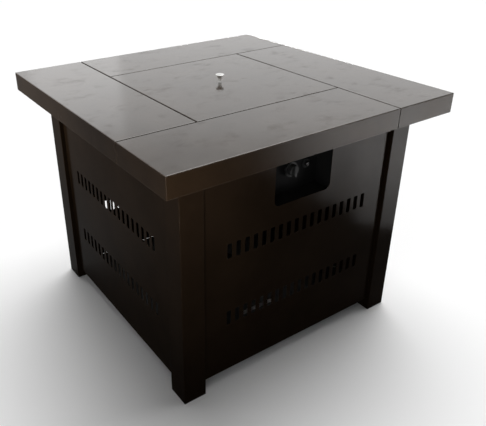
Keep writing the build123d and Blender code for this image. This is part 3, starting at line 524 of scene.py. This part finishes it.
for label, cad_node in nodes.items():
    cad_node.data.materials.clear()
    cad_node.data.materials.append(FINISHES[slot_of[label]])


# Small pieces
def add_piece(name, mesh, body, slot, replaced=None):
    piece = new_object(name, mesh)
    if not mesh.materials:
        mesh.materials.append(FINISHES[slot])
    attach(piece, body)
    if replaced:
        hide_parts(replaced)


def merged_copy(label):
    """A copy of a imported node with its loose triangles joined."""
    shape = bmesh.new()
    shape.from_mesh(nodes[label].data)
    bmesh.ops.remove_doubles(shape, verts=shape.verts, dist=1e-6)
    shape.verts.ensure_lookup_table()
    return shape


def separate_solids(shape):
    """The vertices of each solid in a merged copy, in a fixed order."""
    shape.verts.index_update()
    seen = set()
    solids = []
    for first in shape.verts:
        if first.index in seen:
            continue
        seen.add(first.index)
        solid = [first]
        for vertex in solid:
            for edge in vertex.link_edges:
                other = edge.other_vert(vertex)
                if other.index not in seen:
                    seen.add(other.index)
                    solid.append(other)
        solids.append(solid)
    return solids


def plain_mesh(carrier):
    """The mesh that a carrier's modifiers or curve settings give."""
    graph = bpy.context.evaluated_depsgraph_get()
    return bpy.data.meshes.new_from_object(carrier.evaluated_get(graph), depsgraph=graph)


def grown_mesh(tree, start, values):
    """The plain mesh that a geometry tree makes from a start mesh and its named inputs."""
    carrier = new_object("carrier", start)
    grow = carrier.modifiers.new("grow", "NODES")
    grow.node_group = tree
    for item in tree.interface.items_tree:
        if item.item_type == "SOCKET" and item.in_out == "INPUT" and item.name in values:
            grow[item.identifier] = values[item.name]
    mesh = plain_mesh(carrier)
    carrier.modifiers.remove(grow)
    bpy.data.objects.remove(carrier)
    return mesh


def lifted(w, mesh, height):
    return w.add("GeometryNodeTransform", {"Geometry": mesh, "Translation": w.upright(height)}).outputs[0]


def joined(w, *meshes):
    node = w.add("GeometryNodeJoinGeometry")
    for mesh in meshes:
        w.tree.links.new(mesh, node.inputs[0])
    return node.outputs[0]


def drum(w, sides, radius, deep):
    node = w.add("GeometryNodeMeshCylinder", {"Vertices": sides, "Radius": radius, "Depth": deep})
    return node.outputs["Mesh"]


def taper(w, sides, low_radius, top_radius, deep):
    node = w.add("GeometryNodeMeshCone", {
        "Vertices": sides, "Radius Bottom": low_radius, "Radius Top": top_radius, "Depth": deep})
    return node.outputs["Mesh"]


def ring_points(w, count, radius):
    return w.add("GeometryNodeMeshCircle", {"Vertices": count, "Radius": radius}).outputs["Mesh"]


def on_points(w, points, shape, **more):
    return w.add("GeometryNodeInstanceOnPoints", {"Points": points, "Instance": shape, **more}).outputs[0]


def turned_to(w, way):
    return w.add("FunctionNodeAlignRotationToVector", {"Vector": way}, axis="Z").outputs[0]


def made_real(w, instances):
    return w.add("GeometryNodeRealizeInstances", {"Geometry": instances}).outputs[0]


def settled(w, out, mesh, finish):
    """Ends a tree: instances made real, finish set."""
    finished = w.add("GeometryNodeSetMaterial", {"Geometry": made_real(w, mesh), "Material": finish})
    w.set(out, "Geometry", finished.outputs[0])


FASTENER_SIZES = [
    ("Geometry", GEOMETRY, None), ("Head Radius", FLOAT, 5.0 * MM), ("Head Height", FLOAT, 3.0 * MM),
    ("Shank Radius", FLOAT, 2.5 * MM), ("Shank Length", FLOAT, 10.0 * MM), ("Thread Pitch", FLOAT, 1.2 * MM),
    ("Finish", FINISH, None)]


def threaded_shank(w, sizes):
    """Core below the head's seat with a thread ridge wound round it, out to the shank's full radius."""
    ridge, plain_ends, tip = 0.4 * MM, 2.4 * MM, 0.7 * MM
    core_radius = w.maths("SUBTRACT", sizes["Shank Radius"], ridge)
    length = sizes["Shank Length"]
    core = lifted(w, drum(w, 12, core_radius, length), w.times(length, -0.5))
    usable = w.maths("SUBTRACT", length, plain_ends)
    path = w.add("GeometryNodeCurveSpiral", {
        "Resolution": 12, "Rotations": w.maths("DIVIDE", usable, sizes["Thread Pitch"]),
        "Start Radius": core_radius, "End Radius": core_radius, "Height": usable}).outputs[0]
    section = w.add("GeometryNodeCurvePrimitiveCircle", {"Resolution": 3, "Radius": ridge}).outputs[0]
    thread = w.add("GeometryNodeCurveToMesh", {
        "Curve": path, "Profile Curve": section, "Fill Caps": True}).outputs[0]
    return joined(w, core, lifted(w, thread, w.maths("SUBTRACT", tip, length)))


def set_out(w, given, out, fastener):
    """One fastener on each point, its head turned to the point's facing."""
    facing = w.add("GeometryNodeInputNamedAttribute", {"Name": "facing"}, data_type="FLOAT_VECTOR").outputs[0]
    spread = on_points(w, given.outputs["Geometry"], fastener, Rotation=turned_to(w, facing))
    settled(w, out, spread, given.outputs["Finish"])


def make_hex_bolts():
    """Hexagon head with a washer face and a chamfered crown."""
    tree, w, given, out = new_tree("hex_bolts", "GeometryNodeTree", FASTENER_SIZES, ONE_MESH)
    sizes = given.outputs
    wide, tall = sizes["Head Radius"], sizes["Head Height"]
    washer = lifted(w, drum(w, 24, w.times(wide, 0.99), w.times(tall, 0.16)), w.times(tall, 0.08))
    flats = lifted(w, drum(w, 6, w.times(wide, 0.98), w.times(tall, 0.70)), w.times(tall, 0.51))
    cone = taper(w, 24, w.times(wide, 0.84), w.times(wide, 0.70), w.times(tall, 0.14))
    crown = lifted(w, cone, w.times(tall, 0.86))
    set_out(w, given, out, joined(w, washer, flats, crown, threaded_shank(w, sizes)))
    return tree


def make_cross_screws():
    """Pan head with a cross recess."""
    tree, w, given, out = new_tree("cross_screws", "GeometryNodeTree", FASTENER_SIZES, ONE_MESH)
    sizes = given.outputs
    wide, tall = sizes["Head Radius"], sizes["Head Height"]
    skirt = lifted(w, drum(w, 20, wide, w.times(tall, 0.42)), w.times(tall, 0.21))
    dome = lifted(w, taper(w, 20, wide, w.times(wide, 0.62), w.times(tall, 0.58)), w.times(tall, 0.42))
    slots = []
    for long_x, long_y in ((1.0, 0.2), (0.2, 1.0)):
        size = w.add("ShaderNodeCombineXYZ", {
            "X": w.times(wide, long_x), "Y": w.times(wide, long_y),
            "Z": w.times(tall, 0.9)}).outputs[0]
        slots.append(lifted(w, w.add("GeometryNodeMeshCube", {"Size": size}).outputs["Mesh"], tall))
    cut = w.add("GeometryNodeMeshBoolean", {"Mesh 1": dome}, operation="DIFFERENCE")
    for slot in slots:
        w.tree.links.new(slot, cut.inputs["Mesh 2"])
    set_out(w, given, out, joined(w, skirt, cut.outputs["Mesh"], threaded_shank(w, sizes)))
    return tree


def fastener_spots(label):
    """Seat and facing of each fastener in a packed group, and the sizes that they share."""
    shape = merged_copy(label)
    seats, facings, sizes = [], [], None
    for solid in separate_solids(shape):
        places = [vertex.co.copy() for vertex in solid]
        faces = {face.index: face for vertex in solid for face in vertex.link_faces}
        area = sum(face.calc_area() for face in faces.values())
        weighed = (face.calc_center_median() * face.calc_area() for face in faces.values())
        heavy = sum(weighed, Vector()) / area
        low = Vector([min(p[k] for p in places) for k in range(3)])
        high = Vector([max(p[k] for p in places) for k in range(3)])
        middle = (low + high) / 2
        axis = max(range(3), key=lambda k: abs(heavy[k] - middle[k]))
        sides = [k for k in range(3) if k != axis]

        def out_from_axis(p):
            return math.hypot(p[sides[0]] - middle[sides[0]], p[sides[1]] - middle[sides[1]])

        head_radius = max(out_from_axis(p) for p in places)
        head = [p[axis] for p in places if out_from_axis(p) > 0.9 * head_radius]
        way = 1 if sum(head) / len(head) > middle[axis] else -1
        seat_level = min(head) if way > 0 else max(head)
        top_level, tip_level = (high[axis], low[axis]) if way > 0 else (low[axis], high[axis])
        tip = [out_from_axis(p) for p in places if abs(p[axis] - tip_level) < 0.05 * MM]
        seat = middle.copy()
        seat[axis] = seat_level
        facing = Vector((0.0, 0.0, 0.0))
        facing[axis] = way
        seats.append(seat)
        facings.append(facing)
        sizes = {
            "Head Radius": head_radius, "Head Height": abs(top_level - seat_level),
            "Shank Radius": max(tip), "Shank Length": abs(seat_level - tip_level)}
    shape.free()
    return seats, facings, sizes


def add_fasteners(name, label, tree, body, pitch, finish="zinc_steel"):
    seats, facings, sizes = fastener_spots(label)
    points = bpy.data.meshes.new(name + "_points")
    points.from_pydata(seats, [], [])
    layer = points.attributes.new("facing", "FLOAT_VECTOR", "POINT")
    for item, facing in zip(layer.data, facings):
        item.vector = facing
    values = dict(sizes, **{"Thread Pitch": pitch, "Finish": FINISHES[finish]})
    add_piece(name, grown_mesh(tree, points, values), body, finish, label)


HEX_BOLTS = make_hex_bolts()
CROSS_SCREWS = make_cross_screws()
add_fasteners("hex_panel_bolts", "panel_bolts", HEX_BOLTS, "frame", 1.0 * MM)
add_fasteners("hex_plank_bolts", "plank_bolts", HEX_BOLTS, "frame", 1.4 * MM)
add_fasteners("cross_frame_screws", "frame_screws", CROSS_SCREWS, "frame", 1.4 * MM)
add_fasteners("cross_hinge_screws", "hinge_screws", CROSS_SCREWS, "frame", 1.0 * MM)
# The valve's screws take the recess paint, not zinc: painted shade that keeps their glints out of the dark
# opening
add_fasteners("cross_valve_screws", "valve_screws", CROSS_SCREWS, "frame", 1.4 * MM, "recess_paint")
add_fasteners("cross_lid_knob_screw", "lid_knob_screw", CROSS_SCREWS, "lid", 1.4 * MM)
add_fasteners("cross_door_knob_screw", "door_knob_screw", CROSS_SCREWS, "door", 1.4 * MM)


def make_burner_ports():
    """Drills gas ports in the ring's upper wall, leaning in and out by turns, and along the cross tube."""
    tree, w, given, out = new_tree(
        "burner_ports", "GeometryNodeTree",
        [("Geometry", GEOMETRY, None), ("Ring Ports", WHOLE, 40), ("Cross Ports", WHOLE, 16),
         ("Ring Radius", FLOAT, BURNER_RING), ("Tube Radius", FLOAT, BURNER_TUBE),
         ("Middle Height", FLOAT, BURNER_MIDDLE), ("Port Radius", FLOAT, 1.2 * MM),
         ("Port Depth", FLOAT, 5.0 * MM), ("Lean", FLOAT, 0.5), ("Finish", FINISH, None)],
        ONE_MESH)
    sizes = given.outputs
    ring = ring_points(w, sizes["Ring Ports"], sizes["Ring Radius"])
    reach = w.times(sizes["Ring Radius"], 0.82)
    start = w.add("ShaderNodeCombineXYZ", {"X": w.times(reach, -1.0)}).outputs[0]
    end = w.add("ShaderNodeCombineXYZ", {"X": reach}).outputs[0]
    row = w.add("GeometryNodeMeshLine", {
        "Count": sizes["Cross Ports"], "Start Location": start, "Offset": end}, mode="END_POINTS")
    spot = w.add("GeometryNodeInputPosition").outputs[0]
    along = w.maths("ABSOLUTE", w.split(spot)["X"])
    hub = w.add("FunctionNodeCompare", {0: along, 1: BURNER_HUB_CLEAR}, operation="LESS_THAN").outputs[0]
    clear_row = w.add("GeometryNodeDeleteGeometry", {
        "Geometry": row.outputs["Mesh"], "Selection": hub}).outputs[0]
    outward = w.vectors("NORMALIZE", w.vectors("MULTIPLY", spot, (1.0, 1.0, 0.0)))
    odd = w.maths("MODULO", w.add("GeometryNodeInputIndex").outputs[0], 2.0)
    sway = w.times(w.maths("SUBTRACT", odd, 0.5), w.times(sizes["Lean"], 2.0))
    leaning = w.vectors("SCALE", outward, w.maths("SINE", sway))
    ring_way = w.vectors("ADD", leaning, w.upright(w.maths("COSINE", sway)))
    drill = drum(w, 10, sizes["Port Radius"], sizes["Port Depth"])
    drills = []
    for points, way in ((ring, ring_way), (clear_row, (0.0, 0.0, 1.0))):
        to_wall = w.vectors("SCALE", way, sizes["Tube Radius"])
        offset = w.vectors("ADD", to_wall, w.upright(sizes["Middle Height"]))
        set_up = on_points(w, points, drill, Rotation=turned_to(w, way))
        moved = w.add("GeometryNodeTranslateInstances", {
            "Instances": set_up, "Translation": offset, "Local Space": False})
        drills.append(made_real(w, moved.outputs[0]))
    bored = w.add("GeometryNodeMeshBoolean", {"Mesh 1": sizes["Geometry"]}, operation="DIFFERENCE")
    for cutter in drills:
        w.tree.links.new(cutter, bored.inputs["Mesh 2"])
    settled(w, out, bored.outputs["Mesh"], sizes["Finish"])
    return tree


def add_burner():
    shape = merged_copy("burner_ring")
    start = bpy.data.meshes.new("burner_start")
    shape.to_mesh(start)
    shape.free()
    mesh = grown_mesh(make_burner_ports(), start, {"Finish": FINISHES["stainless"]})
    add_piece("ported_burner", mesh, "frame", "stainless", "burner_ring")


add_burner()


def make_grip_ribs():
    """Fine ribs round the knob's skirt, along its axis."""
    tree, w, given, out = new_tree(
        "grip_ribs", "GeometryNodeTree",
        [("Geometry", GEOMETRY, None), ("Ribs", WHOLE, 48), ("Ring Radius", FLOAT, KNOB_SKIRT),
         ("Rib Radius", FLOAT, 0.8 * MM), ("Rib Length", FLOAT, KNOB_SKIRT_DEEP),
         ("Middle", VECTOR, (0.0, 0.0, 0.0)), ("Finish", FINISH, None)],
        ONE_MESH)
    sizes = given.outputs
    ring = ring_points(w, sizes["Ribs"], sizes["Ring Radius"])
    rib = drum(w, 8, sizes["Rib Radius"], sizes["Rib Length"])
    spread = on_points(w, ring, rib)
    facing_front = w.add("GeometryNodeTransform", {
        "Geometry": spread, "Translation": sizes["Middle"], "Rotation": (math.pi / 2, 0.0, 0.0)}).outputs[0]
    settled(w, out, facing_front, sizes["Finish"])
    return tree


def add_grip_ribs():
    sunk = 0.3 * MM
    middle = (KNOB_AXIS[0], KNOB_SKIRT_BACK - KNOB_SKIRT_DEEP / 2, KNOB_AXIS[1])
    values = {"Middle": middle, "Ring Radius": KNOB_SKIRT - sunk, "Finish": FINISHES["black_plastic"]}
    mesh = grown_mesh(make_grip_ribs(), bpy.data.meshes.new("rib_start"), values)
    add_piece("knob_grip_ribs", mesh, "control_knob", "black_plastic")


add_grip_ribs()


def make_weld_beads():
    """A run of overlapping ripples along each edge of the start mesh."""
    tree, w, given, out = new_tree(
        "weld_beads", "GeometryNodeTree",
        [("Geometry", GEOMETRY, None), ("Ripple Pitch", FLOAT, 2.2 * MM), ("Bead Radius", FLOAT, 2.4 * MM),
         ("Seed", WHOLE, 4), ("Finish", FINISH, None)],
        ONE_MESH)
    sizes = given.outputs
    runs = w.add("GeometryNodeMeshToCurve", {"Mesh": sizes["Geometry"]}).outputs[0]
    steps = w.add("GeometryNodeResampleCurve", {
        "Curve": runs, "Length": sizes["Ripple Pitch"]}, mode="LENGTH").outputs[0]
    ripple = w.add("GeometryNodeMeshIcoSphere", {
        "Radius": sizes["Bead Radius"], "Subdivisions": 2}).outputs["Mesh"]
    size = w.add("FunctionNodeRandomValue", {
        2: 0.82, 3: 1.08, "Seed": sizes["Seed"]}, data_type="FLOAT").outputs[1]
    real = made_real(w, on_points(w, steps, ripple, Scale=size))
    settled(w, out, w.add("GeometryNodeSetShadeSmooth", {"Geometry": real}).outputs[0], sizes["Finish"])
    return tree


def quarter_turned(points, quarter):
    turn = Matrix.Rotation(quarter * math.pi / 2, 3, "Z")
    return [turn @ Vector(p) for p in points]


def add_weld_beads():
    """Welds of rails on legs, of the bowl's rails on each other, and of the cylinder ring on its tray."""
    leg_face, rail_front, rail_back = 335.0 * MM, -391.0 * MM, -353.5 * MM
    rail_low, rise, corner_gap = 712.0 * MM, 26.0 * MM, 3.0 * MM
    pan_low, pan_middle, pan_inside, half_run = 716.5 * MM, 262.5 * MM, 250.5 * MM, 10.0 * MM
    ring_out, tray_top, ring_welds, first_weld = 108.0 * MM, 42.0 * MM, 8, 0.2
    runs = []
    for quarter in range(4):
        for side in (-1, 1):
            x = side * leg_face
            under = [(x, rail_front, rail_low), (x, rail_back - corner_gap, rail_low)]
            behind = [(x, rail_back, rail_low + corner_gap), (x, rail_back, rail_low + rise)]
            runs += [quarter_turned(run, quarter) for run in (under, behind)]
    for front in (-1, 1):
        for side in (-1, 1):
            x, y = side * -rail_back, front * pan_middle
            runs.append([Vector((x, y - half_run, pan_low)), Vector((x, y + half_run, pan_low))])
            x, y = side * pan_middle, front * pan_inside
            runs.append([Vector((x - half_run, y, pan_low)), Vector((x + half_run, y, pan_low))])
    for step in range(ring_welds):
        middle = step * 2 * math.pi / ring_welds + first_weld
        arc = [middle + turn for turn in (-0.1, -0.05, 0.0, 0.05, 0.1)]
        runs.append([Vector((ring_out * math.cos(a), ring_out * math.sin(a), tray_top)) for a in arc])
    places, edges = [], []
    for run in runs:
        first = len(places)
        places.extend(run)
        edges.extend((first + k, first + k + 1) for k in range(len(run) - 1))
    start = bpy.data.meshes.new("weld_runs")
    start.from_pydata(places, edges, [])
    mesh = grown_mesh(make_weld_beads(), start, {"Finish": FINISHES["frame_paint"]})
    add_piece("frame_weld_beads", mesh, "frame", "frame_paint")


add_weld_beads()


def add_lava_stones():
    """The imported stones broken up: rounded a little, roughened and pitted, still lying on the bowl."""
    roughness, wide_pit, deep_pit, fine_pit, deep_fine = 1.4 * MM, 0.42, 1.5 * MM, 0.4, 0.5 * MM
    shrink, most_swell, clearance = 0.3 * MM, 0.9 * MM, 0.2 * MM
    shape = merged_copy("lava_stones")
    bowl_floor = min(vertex.co.z for vertex in shape.verts)
    bmesh.ops.subdivide_edges(shape, edges=shape.edges, cuts=5, use_grid_fill=True)
    bmesh.ops.triangulate(shape, faces=shape.faces)
    raised = [vertex for vertex in shape.verts if vertex.co.z > bowl_floor + 0.5 * MM]
    for _ in range(3):
        bmesh.ops.smooth_vert(
            shape, verts=raised, factor=0.5, use_axis_x=True, use_axis_y=True, use_axis_z=True)
    shape.normal_update()
    moves = []
    for vertex in raised:
        place = vertex.co
        broken = noise.fractal(place * 55.0, 0.9, 2.0, 4)
        pit = noise.voronoi(place * 190.0)[0][0]
        small_pit = noise.voronoi(place * 420.0)[0][0]
        depth = roughness * broken
        depth -= deep_pit * max(0.0, wide_pit - pit) / wide_pit
        depth -= deep_fine * max(0.0, fine_pit - small_pit) / fine_pit
        moves.append(vertex.normal * min(depth - shrink, most_swell))
    for vertex, move in zip(raised, moves):
        vertex.co += move
        vertex.co.z = max(vertex.co.z, bowl_floor + clearance)
    mesh = bpy.data.meshes.new("broken_lava_stones")
    shape.to_mesh(mesh)
    shape.free()
    add_piece("broken_lava_stones", mesh, "frame", "lava", "lava_stones")


add_lava_stones()


def add_electrode_wire():
    """The spark wire's bent end, which points at the burner ring."""
    x, y, z = ELECTRODE
    bend = bpy.data.curves.new("electrode_wire", "CURVE")
    bend.dimensions = "3D"
    bend.bevel_depth = 1.1 * MM
    bend.bevel_resolution = 3
    bend.use_fill_caps = True
    spline = bend.splines.new("NURBS")
    bend_way = ((0.0, -2.0), (0.0, 2.0), (1.5, 3.4), (5.0, 3.0), (8.0, 1.0))
    places = [(x, y + back * MM, z + up * MM) for back, up in bend_way]
    spline.points.add(len(places) - 1)
    for point, place in zip(spline.points, places):
        point.co = (*place, 1.0)
    spline.order_u = 3
    spline.use_endpoint_u = True
    carrier = new_object("wire_carrier", bend)
    mesh = plain_mesh(carrier)
    bpy.data.objects.remove(carrier)
    add_piece("electrode_wire", mesh, "frame", "stainless")


add_electrode_wire()

# Studio: pale floor, white surroundings, a broad light from behind, two small lights on the near left edges,
# and cards and rows of strips that only shiny faces show
FLOOR_REACH = 40.0
FLOOR_LEVEL = -0.3 * MM
FLOOR_SEEN = colour(0.94, 0.94, 0.94)
FLOOR_SCATTERED = colour(0.04, 0.04, 0.04)
AMBIENT = 0.11
SHEEN_OUT, SHEEN_NEAR, SHEEN_FAR, SHEEN_TALL = 0.81, 0.42, 1.56, 0.80
SHEEN_AIM = (-0.640, 0.649, 0.407)
SHEEN_FILL = 0.8
SHEEN_FOOT = 0.30
SHEEN_SPREAD = math.radians(60)


def seen_rays(w):
    """1 for what the camera, a mirror or a glass shows, 0 for light that is scattered on."""
    path = w.add("ShaderNodeLightPath").outputs
    mirrored = w.maths("ADD", path["Is Camera Ray"], path["Is Glossy Ray"])
    return w.maths("ADD", mirrored, path["Is Transmission Ray"], clamp=True)


def make_floor():
    mesh = bpy.data.meshes.new("studio_floor")
    ends = ((-1, -1), (1, -1), (1, 1), (-1, 1))
    corners = [(x * FLOOR_REACH, y * FLOOR_REACH, FLOOR_LEVEL) for x, y in ends]
    mesh.from_pydata(corners, [], [(0, 1, 2, 3)])
    floor = new_object("studio_floor", mesh)
    f = Finish("pale_floor", specular=0.0)
    f.feed(Base_Color=f.w.mix(seen_rays(f.w), FLOOR_SCATTERED, FLOOR_SEEN))
    f.shader.inputs["Roughness"].default_value = 0.9
    mesh.materials.append(f.material)


def make_surroundings():
    world = bpy.data.worlds.new("studio_white")
    bpy.context.scene.world = world
    world.use_nodes = True
    w = Wiring(world.node_tree)
    strength = w.range(seen_rays(w), 0.0, 1.0, AMBIENT, 1.0)
    sky = w.add("ShaderNodeBackground", {"Color": colour(1.0, 1.0, 1.0), "Strength": strength})
    w.set(w.add("ShaderNodeOutputWorld"), "Surface", sky.outputs["Background"])


def aim(place, target):
    return (Vector(target) - Vector(place)).to_track_quat("-Z", "Y").to_matrix().to_4x4()


def make_light(name, kind, place, target, energy, **settings):
    lamp = bpy.data.lights.new(name, kind)
    lamp.energy = energy
    for key, value in settings.items():
        setattr(lamp, key, value)
    light = new_object(name, lamp)
    light.matrix_world = Matrix.Translation(place) @ aim(place, target)
    light.visible_camera = False
    return light


def make_card(name, place, target, energy, wide, tall, foot=1.0, spread=math.pi):
    """A card that only shiny faces show. Foot is how bright its lower edge is beside the rest."""
    card = make_light(
        name, "AREA", place, target, energy, shape="RECTANGLE", size=wide, size_y=tall, spread=spread)
    card.visible_diffuse = False
    card.data.use_nodes = True
    w = Wiring(card.data.node_tree)
    rise = w.split(w.add("ShaderNodeNewGeometry").outputs["Parametric"])["Y"]
    glow = w.add("ShaderNodeEmission", {"Strength": w.range(rise, 0.0, 0.5, foot, 1.0)})
    w.set(w.add("ShaderNodeOutputLight"), "Surface", glow.outputs["Emission"])


def make_sheen(face, turn, strips, energy):
    """A row of leaning strips off one end of a face, for the sheen that is seen from the face's other end."""
    facing = turn @ Vector(SHEEN_AIM).normalized()
    rise = (Vector((0.0, 0.0, 1.0)) - facing * facing.z).normalized()
    pitch = (SHEEN_FAR - SHEEN_NEAR) / strips
    for count in range(strips):
        place = turn @ Vector((SHEEN_OUT, -SHEEN_NEAR - (count + 0.5) * pitch, 0.0)) + rise * SHEEN_TALL / 2
        make_card(
            f"{face}_strip_{count + 1}", place, place + facing, energy / strips,
            SHEEN_FILL * pitch, SHEEN_TALL, SHEEN_FOOT, SHEEN_SPREAD)


def make_camera():
    turn, rise, roll = (math.radians(v) for v in (CAMERA_AZIMUTH, CAMERA_ELEVATION, CAMERA_ROLL))
    back = Vector((math.sin(turn) * math.cos(rise), -math.cos(turn) * math.cos(rise), math.sin(rise)))
    level = Vector((math.cos(turn), math.sin(turn), 0.0))
    upright = back.cross(level)
    right = level * math.cos(roll) + upright * math.sin(roll)
    up = upright * math.cos(roll) - level * math.sin(roll)
    lens = bpy.data.cameras.new("photo_camera")
    lens.sensor_fit = "HORIZONTAL"
    lens.sensor_width = 36.0
    lens.lens = FOCAL_PIXELS / IMAGE_WIDTH * lens.sensor_width
    lens.shift_x = (IMAGE_WIDTH / 2 - LENS_MIDDLE[0]) / IMAGE_WIDTH
    lens.shift_y = (LENS_MIDDLE[1] - IMAGE_HEIGHT / 2) / IMAGE_WIDTH
    lens.clip_start = 0.05
    lens.clip_end = 200.0
    camera = new_object("photo_camera", lens)
    axes = Matrix((right, up, back)).transposed().to_4x4()
    camera.matrix_world = Matrix.Translation(CAMERA_PLACE) @ axes
    bpy.context.scene.camera = camera


make_floor()
make_surroundings()
make_light("back_light", "SUN", (0.9, 0.8, 2.4), (0.0, 0.0, 0.0), energy=3.4, angle=math.radians(60))
corner_light = make_light(
    "corner_light", "AREA", (-0.76, -0.90, 0.74), (-0.38, -0.38, 0.70), energy=1.05,
    shape="SQUARE", size=0.3, spread=math.radians(100))
left_light = make_light(
    "left_light", "AREA", (-1.05, 0.45, 0.86), (-0.48, 0.30, 0.72), energy=1.0,
    shape="RECTANGLE", size=0.7, size_y=0.2, spread=math.radians(80))
# The glossy top would mirror these two as bright patches
corner_light.visible_glossy = left_light.visible_glossy = False
make_sheen("front", Matrix.Identity(3), strips=5, energy=15.6)
make_sheen("right", Matrix.Rotation(math.pi / 2, 3, "Z"), strips=3, energy=11.0)
make_sheen("left", Matrix.Rotation(-math.pi / 2, 3, "Z"), strips=3, energy=11.0)
make_sheen("door", Matrix.Diagonal((1.0, -1.0, 1.0)), strips=3, energy=11.0)
make_card("far_card", (2.4, 3.4, 1.7), (0.0, 0.0, 0.76), energy=12.5, wide=8.0, tall=1.7)
make_card("left_card", (1.08, 3.95, 2.06), (-0.42, 0.15, 0.76), energy=1.15, wide=0.88, tall=0.88)
make_camera()

bpy.context.scene.view_settings.view_transform = "Standard"
